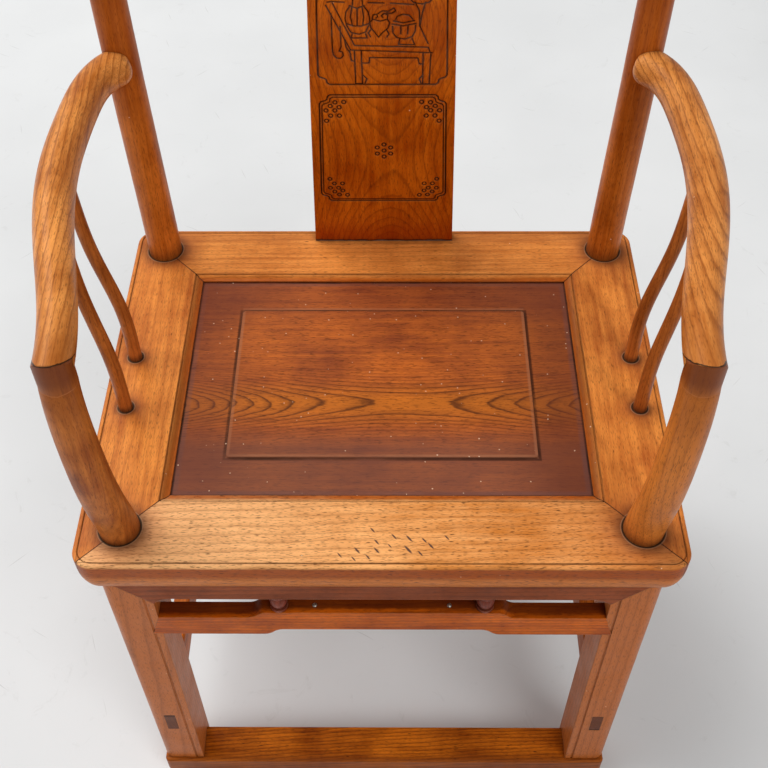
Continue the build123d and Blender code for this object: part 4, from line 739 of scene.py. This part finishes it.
def carve_splat(settings):
    """The splat as a tapered, S-curved board with rounded arrises, its front finely divided along
    the carved lines and pressed in there."""
    size = Vector((2 * SPLAT_FOOT_HALF, SPLAT_THICKNESS, SPLAT_RISE))
    bm = bmesh.new()
    bmesh.ops.create_cube(bm, size=1.0)
    bmesh.ops.scale(bm, vec=size, verts=bm.verts)
    bmesh.ops.translate(bm, vec=(0.0, size.y / 2, size.z / 2), verts=bm.verts)
    arrises = [edge for edge in bm.edges if abs(edge.verts[0].co.z - edge.verts[1].co.z) > 1.0]
    bmesh.ops.bevel(bm, geom=arrises, offset=SPLAT_ARRIS, segments=3, profile=0.5, affect="EDGES",
                    material=-1)
    for axis, length in ((0, size.x), (2, size.z)):
        edges = [edge for edge in bm.edges
                 if abs(edge.verts[0].co[axis] - edge.verts[1].co[axis]) > length / 2]
        bmesh.ops.subdivide_edges(bm, edges=edges, cuts=round(length / settings.splat_division) - 1)
    for vert in bm.verts:
        vert.co.x *= splat_half_width(vert.co.z) / SPLAT_FOOT_HALF
    cuts = splat_cuts()
    every_line = [line for *_, lines in cuts for line in lines]
    for reach in FINER_WITHIN:
        edges = [edge for edge in bm.edges if max(vert.co.y for vert in edge.verts) < 0.01]
        middles = np.array([((edge.verts[0].co + edge.verts[1].co) / 2)[:] for edge in edges])
        near = distance_to_lines(middles[:, (0, 2)], every_line) < reach
        bmesh.ops.subdivide_edges(bm, edges=[edge for edge, close in zip(edges, near) if close], cuts=1,
                                  use_grid_fill=True)
    cut_layer = bm.verts.layers.float.new("cut")
    verts = bm.verts[:]
    places = np.array([vert.co[:] for vert in verts])
    on_front = places[:, 1] < 0.01
    shown = np.zeros(len(verts))
    sunk = np.zeros(len(verts))
    for half, depth, lines in cuts:
        gap = distance_to_lines(places[on_front][:, (0, 2)], lines)
        core = np.clip(1.25 - gap / half, 0.0, 1.0)
        hollow = HOLLOW[0] * np.exp(-(gap / HOLLOW[1]) ** 2)
        sunk[on_front] = np.maximum(sunk[on_front], settings.cut_depth * (depth * core + hollow))
        shown[on_front] = np.maximum(shown[on_front], core)
    front = np.interp(places[:, 2] + SEAT_TOP, *splat_curve())
    for index, vert in enumerate(verts):
        x, y, z = places[index]
        vert.co = Vector((x, y + front[index] + sunk[index], z + SEAT_TOP)) * MM
        vert[cut_layer] = shown[index]
    bmesh.ops.recalc_face_normals(bm, faces=bm.faces)
    mesh = bpy.data.meshes.new("carved_splat")
    bm.to_mesh(mesh)
    bm.free()
    mesh.shade_smooth()
    mesh.set_sharp_from_angle(angle=math.radians(50))
    piece = bpy.data.objects.new("carved_splat", mesh)
    bpy.context.scene.collection.objects.link(piece)
    mesh.materials.append(wood("splat"))
    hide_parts("back_splat")
    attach(piece, "root")


# ---- Sizes and colours that a user would change ----
class FinishSettings(bpy.types.PropertyGroup):
    """Colours of the paler and darker bands of each wood"""


for key, (pale, deep, label, _) in WOODS.items():
    for band, colour in (("light", pale), ("dark", deep)):
        FinishSettings.__annotations__[f"{key}_{band}"] = bpy.props.FloatVectorProperty(
            name=f"{label}, {band}",
            description=f"Colour of the {'paler' if band == 'light' else 'darker'} bands in this wood",
            subtype="COLOR", size=3, min=0.0, max=1.0, default=linear(colour)[:3])


class CarvingSettings(bpy.types.PropertyGroup):
    """How the back splat is cut"""
    cut_depth: bpy.props.FloatProperty(
        name="Cut depth", description="Depth of the carved lines, as a share of the usual depth",
        default=1.0, min=0.1, max=2.0)
    splat_division: bpy.props.FloatProperty(
        name="Splat division", description="Width in millimetres of the splat's faces away from the carving",
        default=4.6, min=2.0, max=20.0)


class StudioSettings(bpy.types.PropertyGroup):
    """Floor, lens and lights"""
    floor_size: bpy.props.FloatProperty(
        name="Floor size", description="Width of the square studio floor", default=16.0, unit="LENGTH")
    lens: bpy.props.FloatProperty(
        name="Lens", description="Focal length of the camera", default=52.42, min=10.0, unit="CAMERA")
    key_power: bpy.props.FloatProperty(
        name="Key light", description="Power of the large soft light", default=590.0, min=0.0, unit="POWER")
    fill_power: bpy.props.FloatProperty(
        name="Fill light", description="Power of the soft light in front", default=135.0, min=0.0,
        unit="POWER")
    sky_strength: bpy.props.FloatProperty(
        name="Sky strength", description="Strength of the even light from all round", default=0.43, min=0.0)


# ---- Operators ----
class ARMCHAIR_OT_seat_frame(bpy.types.Operator):
    """Finish the four rails of the seat frame"""
    bl_idname = "armchair.seat_frame"
    bl_label = "Seat frame"

    def execute(self, context):
        finish_nodes("seat_front", "seat_rail_front")
        finish_nodes("seat_rear", "seat_rail_rear")
        finish_nodes("seat_side", *sides("seat_rail"))
        return {"FINISHED"}


class ARMCHAIR_OT_seat_panel(bpy.types.Operator):
    """Finish the seat panel and the battens under it"""
    bl_idname = "armchair.seat_panel"
    bl_label = "Seat panel"

    def execute(self, context):
        finish_nodes("panel", "seat_panel")
        finish_nodes("aprons_along", *sides("seat_batten"))
        return {"FINISHED"}


class ARMCHAIR_OT_back(bpy.types.Operator):
    """Carve the splat and finish the crest rail"""
    bl_idname = "armchair.back"
    bl_label = "Back"

    def execute(self, context):
        carve_splat(context.scene.armchair_carving)
        finish_nodes("crest", "crest_rail")
        finish_nodes("end_grain", "crest_pegs")
        return {"FINISHED"}


class ARMCHAIR_OT_posts(bpy.types.Operator):
    """Finish the legs, posts, arms and spindles"""
    bl_idname = "armchair.posts"
    bl_label = "Legs, posts and arms"

    def execute(self, context):
        finish_nodes("front_posts", *sides("front_leg_post"))
        finish_nodes("rear_posts", *sides("rear_leg_post"))
        finish_nodes("spindles", *sides("arm_spindle_front", "arm_spindle_rear"))
        finish_nodes("arms", *sides("arm"))
        return {"FINISHED"}


class ARMCHAIR_OT_under_frame(bpy.types.Operator):
    """Finish the aprons, stretchers, struts and footrest"""
    bl_idname = "armchair.under_frame"
    bl_label = "Under-frame"

    def execute(self, context):
        finish_nodes("aprons_across", "apron_front", "apron_rear")
        finish_nodes("aprons_along", *sides("apron"))
        finish_nodes("hump_front", "humpback_stretcher_front")
        finish_nodes("footrest", "footrest", "floor_stretcher_rear")
        finish_nodes("stretchers_along", *sides("humpback_stretcher", "floor_stretcher"))
        finish_nodes("struts", *sides("front_strut", "side_strut_front", "side_strut_rear"))
        finish_nodes("end_grain", "tenon_wedges")
        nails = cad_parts["stretcher_nails"].data
        nails.materials.clear()
        nails.materials.append(make_iron())
        return {"FINISHED"}


# ---- Studio ----
# Where the camera stands, in mm, and how it is turned, in degrees
CAMERA_PLACE = (11.04, -761.28, 1413.03)
CAMERA_PITCH = 49.788
CAMERA_YAW = -0.7305
CAMERA_ROLL = 0.5012
SENSOR_WIDTH = 36.0
# Where the lamps stand and what they point at, in metres, and how wide they are
LAMPS = {
    "key_softbox": ((-4.0, 2.2, 6.6), 7.0),
    "front_softbox": ((2.6, -3.8, 5.0), 3.0),
}
LAMP_TARGET = (0.0, 0.0, 0.5)
# The floor's patterns, in waves or cells per metre: clouds 400 mm across, scuffs 45 mm across, and
# a few hairline scratches in cells 100 mm long and 4 mm wide, at three angles and slightly bent
FLOOR_CLOUDS = 2.5
FLOOR_SCUFFS = 22.0
HAIRLINES = (10.0, 260.0, 1.0)
HAIRLINE_TURNS = (0.5, 1.2, 2.3)
HAIRLINE_WAVES = 9.0
HAIRLINE_BEND = 0.02


def camera_matrix():
    """Place and turn of the camera from its pitch, yaw and roll."""
    pitch, yaw, roll = [math.radians(angle) for angle in (CAMERA_PITCH, CAMERA_YAW, CAMERA_ROLL)]
    forward = Vector((math.sin(yaw) * math.cos(pitch), math.cos(yaw) * math.cos(pitch), -math.sin(pitch)))
    level = Vector((math.cos(yaw), -math.sin(yaw), 0.0))
    down = forward.cross(level)
    right = math.cos(roll) * level + math.sin(roll) * down
    up = math.sin(roll) * level - math.cos(roll) * down
    turn = Matrix((right, up, -forward)).transposed().to_4x4()
    return Matrix.Translation([value * MM for value in CAMERA_PLACE]) @ turn


def make_floor():
    """Pale trowelled plaster floor: matt and nearly even, with cloudy marks and faint scuffs."""
    material, tree, shader, place = new_material("pale_plaster_floor")
    clouds = add_node(tree, "TexNoise", {"Vector": place, "Scale": FLOOR_CLOUDS, "Detail": 6.0})
    clouds = add_node(tree, "MapRange", {"Value": clouds, "From Min": 0.3, "From Max": 0.7})
    scuffs = add_node(tree, "TexNoise", {"Vector": place, "Scale": FLOOR_SCUFFS, "Detail": 9.0,
                                         "Roughness": 0.72, "Distortion": 1.2})
    scuffs = add_node(tree, "MapRange", {"Value": scuffs, "From Min": 0.60, "From Max": 0.75, "To Max": 0.22})
    coats = [(clouds, "#DBDCDC"), (scuffs, "#9A9892")]
    for turn in HAIRLINE_TURNS:
        turned = add_node(tree, "Mapping", {"Vector": place, "Rotation": (0.0, 0.0, turn)})
        bend = add_node(tree, "TexNoise", {"Vector": turned, "Scale": HAIRLINE_WAVES}).outputs["Color"]
        bend = add_node(tree, "VectorMath", {0: bend, "Scale": HAIRLINE_BEND}, operation="SCALE")
        bent = add_node(tree, "VectorMath", {0: bend, 1: turned}, operation="ADD")
        cells = add_node(tree, "Mapping", {"Vector": bent, "Scale": HAIRLINES})
        coats.append((specks(tree, cells, 1.0, 0.20, 0.08, 0.975, most=0.4), "#9C9A96"))
    colour = linear("#D3D4D4")
    for mask, tint in coats:
        colour = add_node(tree, "Mix", {"Factor": mask, "A": colour, "B": linear(tint)},
                          data_type="RGBA").outputs["Result"]
    set_inputs(tree, shader, {"Base Color": colour, "Roughness": 0.75, "Specular IOR Level": 0.2})
    return material


class ARMCHAIR_OT_stage(bpy.types.Operator):
    """Set the pale floor, the soft lights and the camera"""
    bl_idname = "armchair.stage"
    bl_label = "Studio"

    def execute(self, context):
        scene = context.scene
        studio = scene.armchair_studio
        bm = bmesh.new()
        bmesh.ops.create_grid(bm, x_segments=8, y_segments=8, size=studio.floor_size / 2)
        mesh = bpy.data.meshes.new("studio_floor")
        bm.to_mesh(mesh)
        bm.free()
        floor = bpy.data.objects.new("studio_floor", mesh)
        scene.collection.objects.link(floor)
        mesh.materials.append(make_floor())

        for power, (name, (place, size)) in zip((studio.key_power, studio.fill_power), LAMPS.items()):
            lamp = bpy.data.lights.new(name, "AREA")
            lamp.size = size
            lamp.energy = power
            light = bpy.data.objects.new(name, lamp)
            light.location = place
            aim = Vector(LAMP_TARGET) - Vector(place)
            light.rotation_euler = aim.to_track_quat("-Z", "Y").to_euler()
            scene.collection.objects.link(light)

        world = bpy.data.worlds.new("studio_sky")
        world.use_nodes = True
        background = world.node_tree.nodes["Background"]
        background.inputs["Color"].default_value = linear("#F4F4F4")
        background.inputs["Strength"].default_value = studio.sky_strength
        scene.world = world
        scene.view_settings.view_transform = "Standard"

        camera_data = bpy.data.cameras.new("camera")
        camera_data.lens = studio.lens
        camera_data.sensor_width = SENSOR_WIDTH
        camera = bpy.data.objects.new("camera", camera_data)
        camera.matrix_world = camera_matrix()
        scene.collection.objects.link(camera)
        scene.camera = camera
        return {"FINISHED"}


OPERATORS = (
    ARMCHAIR_OT_seat_frame,
    ARMCHAIR_OT_seat_panel,
    ARMCHAIR_OT_back,
    ARMCHAIR_OT_posts,
    ARMCHAIR_OT_under_frame,
    ARMCHAIR_OT_stage,
)
SETTINGS = {
    "armchair_finish": FinishSettings,
    "armchair_carving": CarvingSettings,
    "armchair_studio": StudioSettings,
}


class ARMCHAIR_PT_panel(bpy.types.Panel):
    """Sidebar panel with the chair's settings and steps"""
    bl_idname = "ARMCHAIR_PT_panel"
    bl_label = "Official's Hat Armchair"
    bl_space_type = "VIEW_3D"
    bl_region_type = "UI"
    bl_category = "Armchair"

    def draw(self, context):
        for operator in OPERATORS:
            self.layout.operator(operator.bl_idname)
        for name, group in SETTINGS.items():
            box = self.layout.box()
            for setting in group.__annotations__:
                box.prop(getattr(context.scene, name), setting)


CLASSES = (*SETTINGS.values(), *OPERATORS, ARMCHAIR_PT_panel)


def register():
    for cls in CLASSES:
        bpy.utils.register_class(cls)
    for name, group in SETTINGS.items():
        setattr(bpy.types.Scene, name, bpy.props.PointerProperty(type=group))


def unregister():
    for name in SETTINGS:
        delattr(bpy.types.Scene, name)
    for cls in reversed(CLASSES):
        bpy.utils.unregister_class(cls)


def main():
    """Register the add-on, dress the chair and set the stage."""
    register()
    bpy.ops.armchair.seat_frame()
    bpy.ops.armchair.seat_panel()
    bpy.ops.armchair.back()
    bpy.ops.armchair.posts()
    bpy.ops.armchair.under_frame()
    bpy.ops.armchair.stage()


if __name__ == "__main__":
    main()
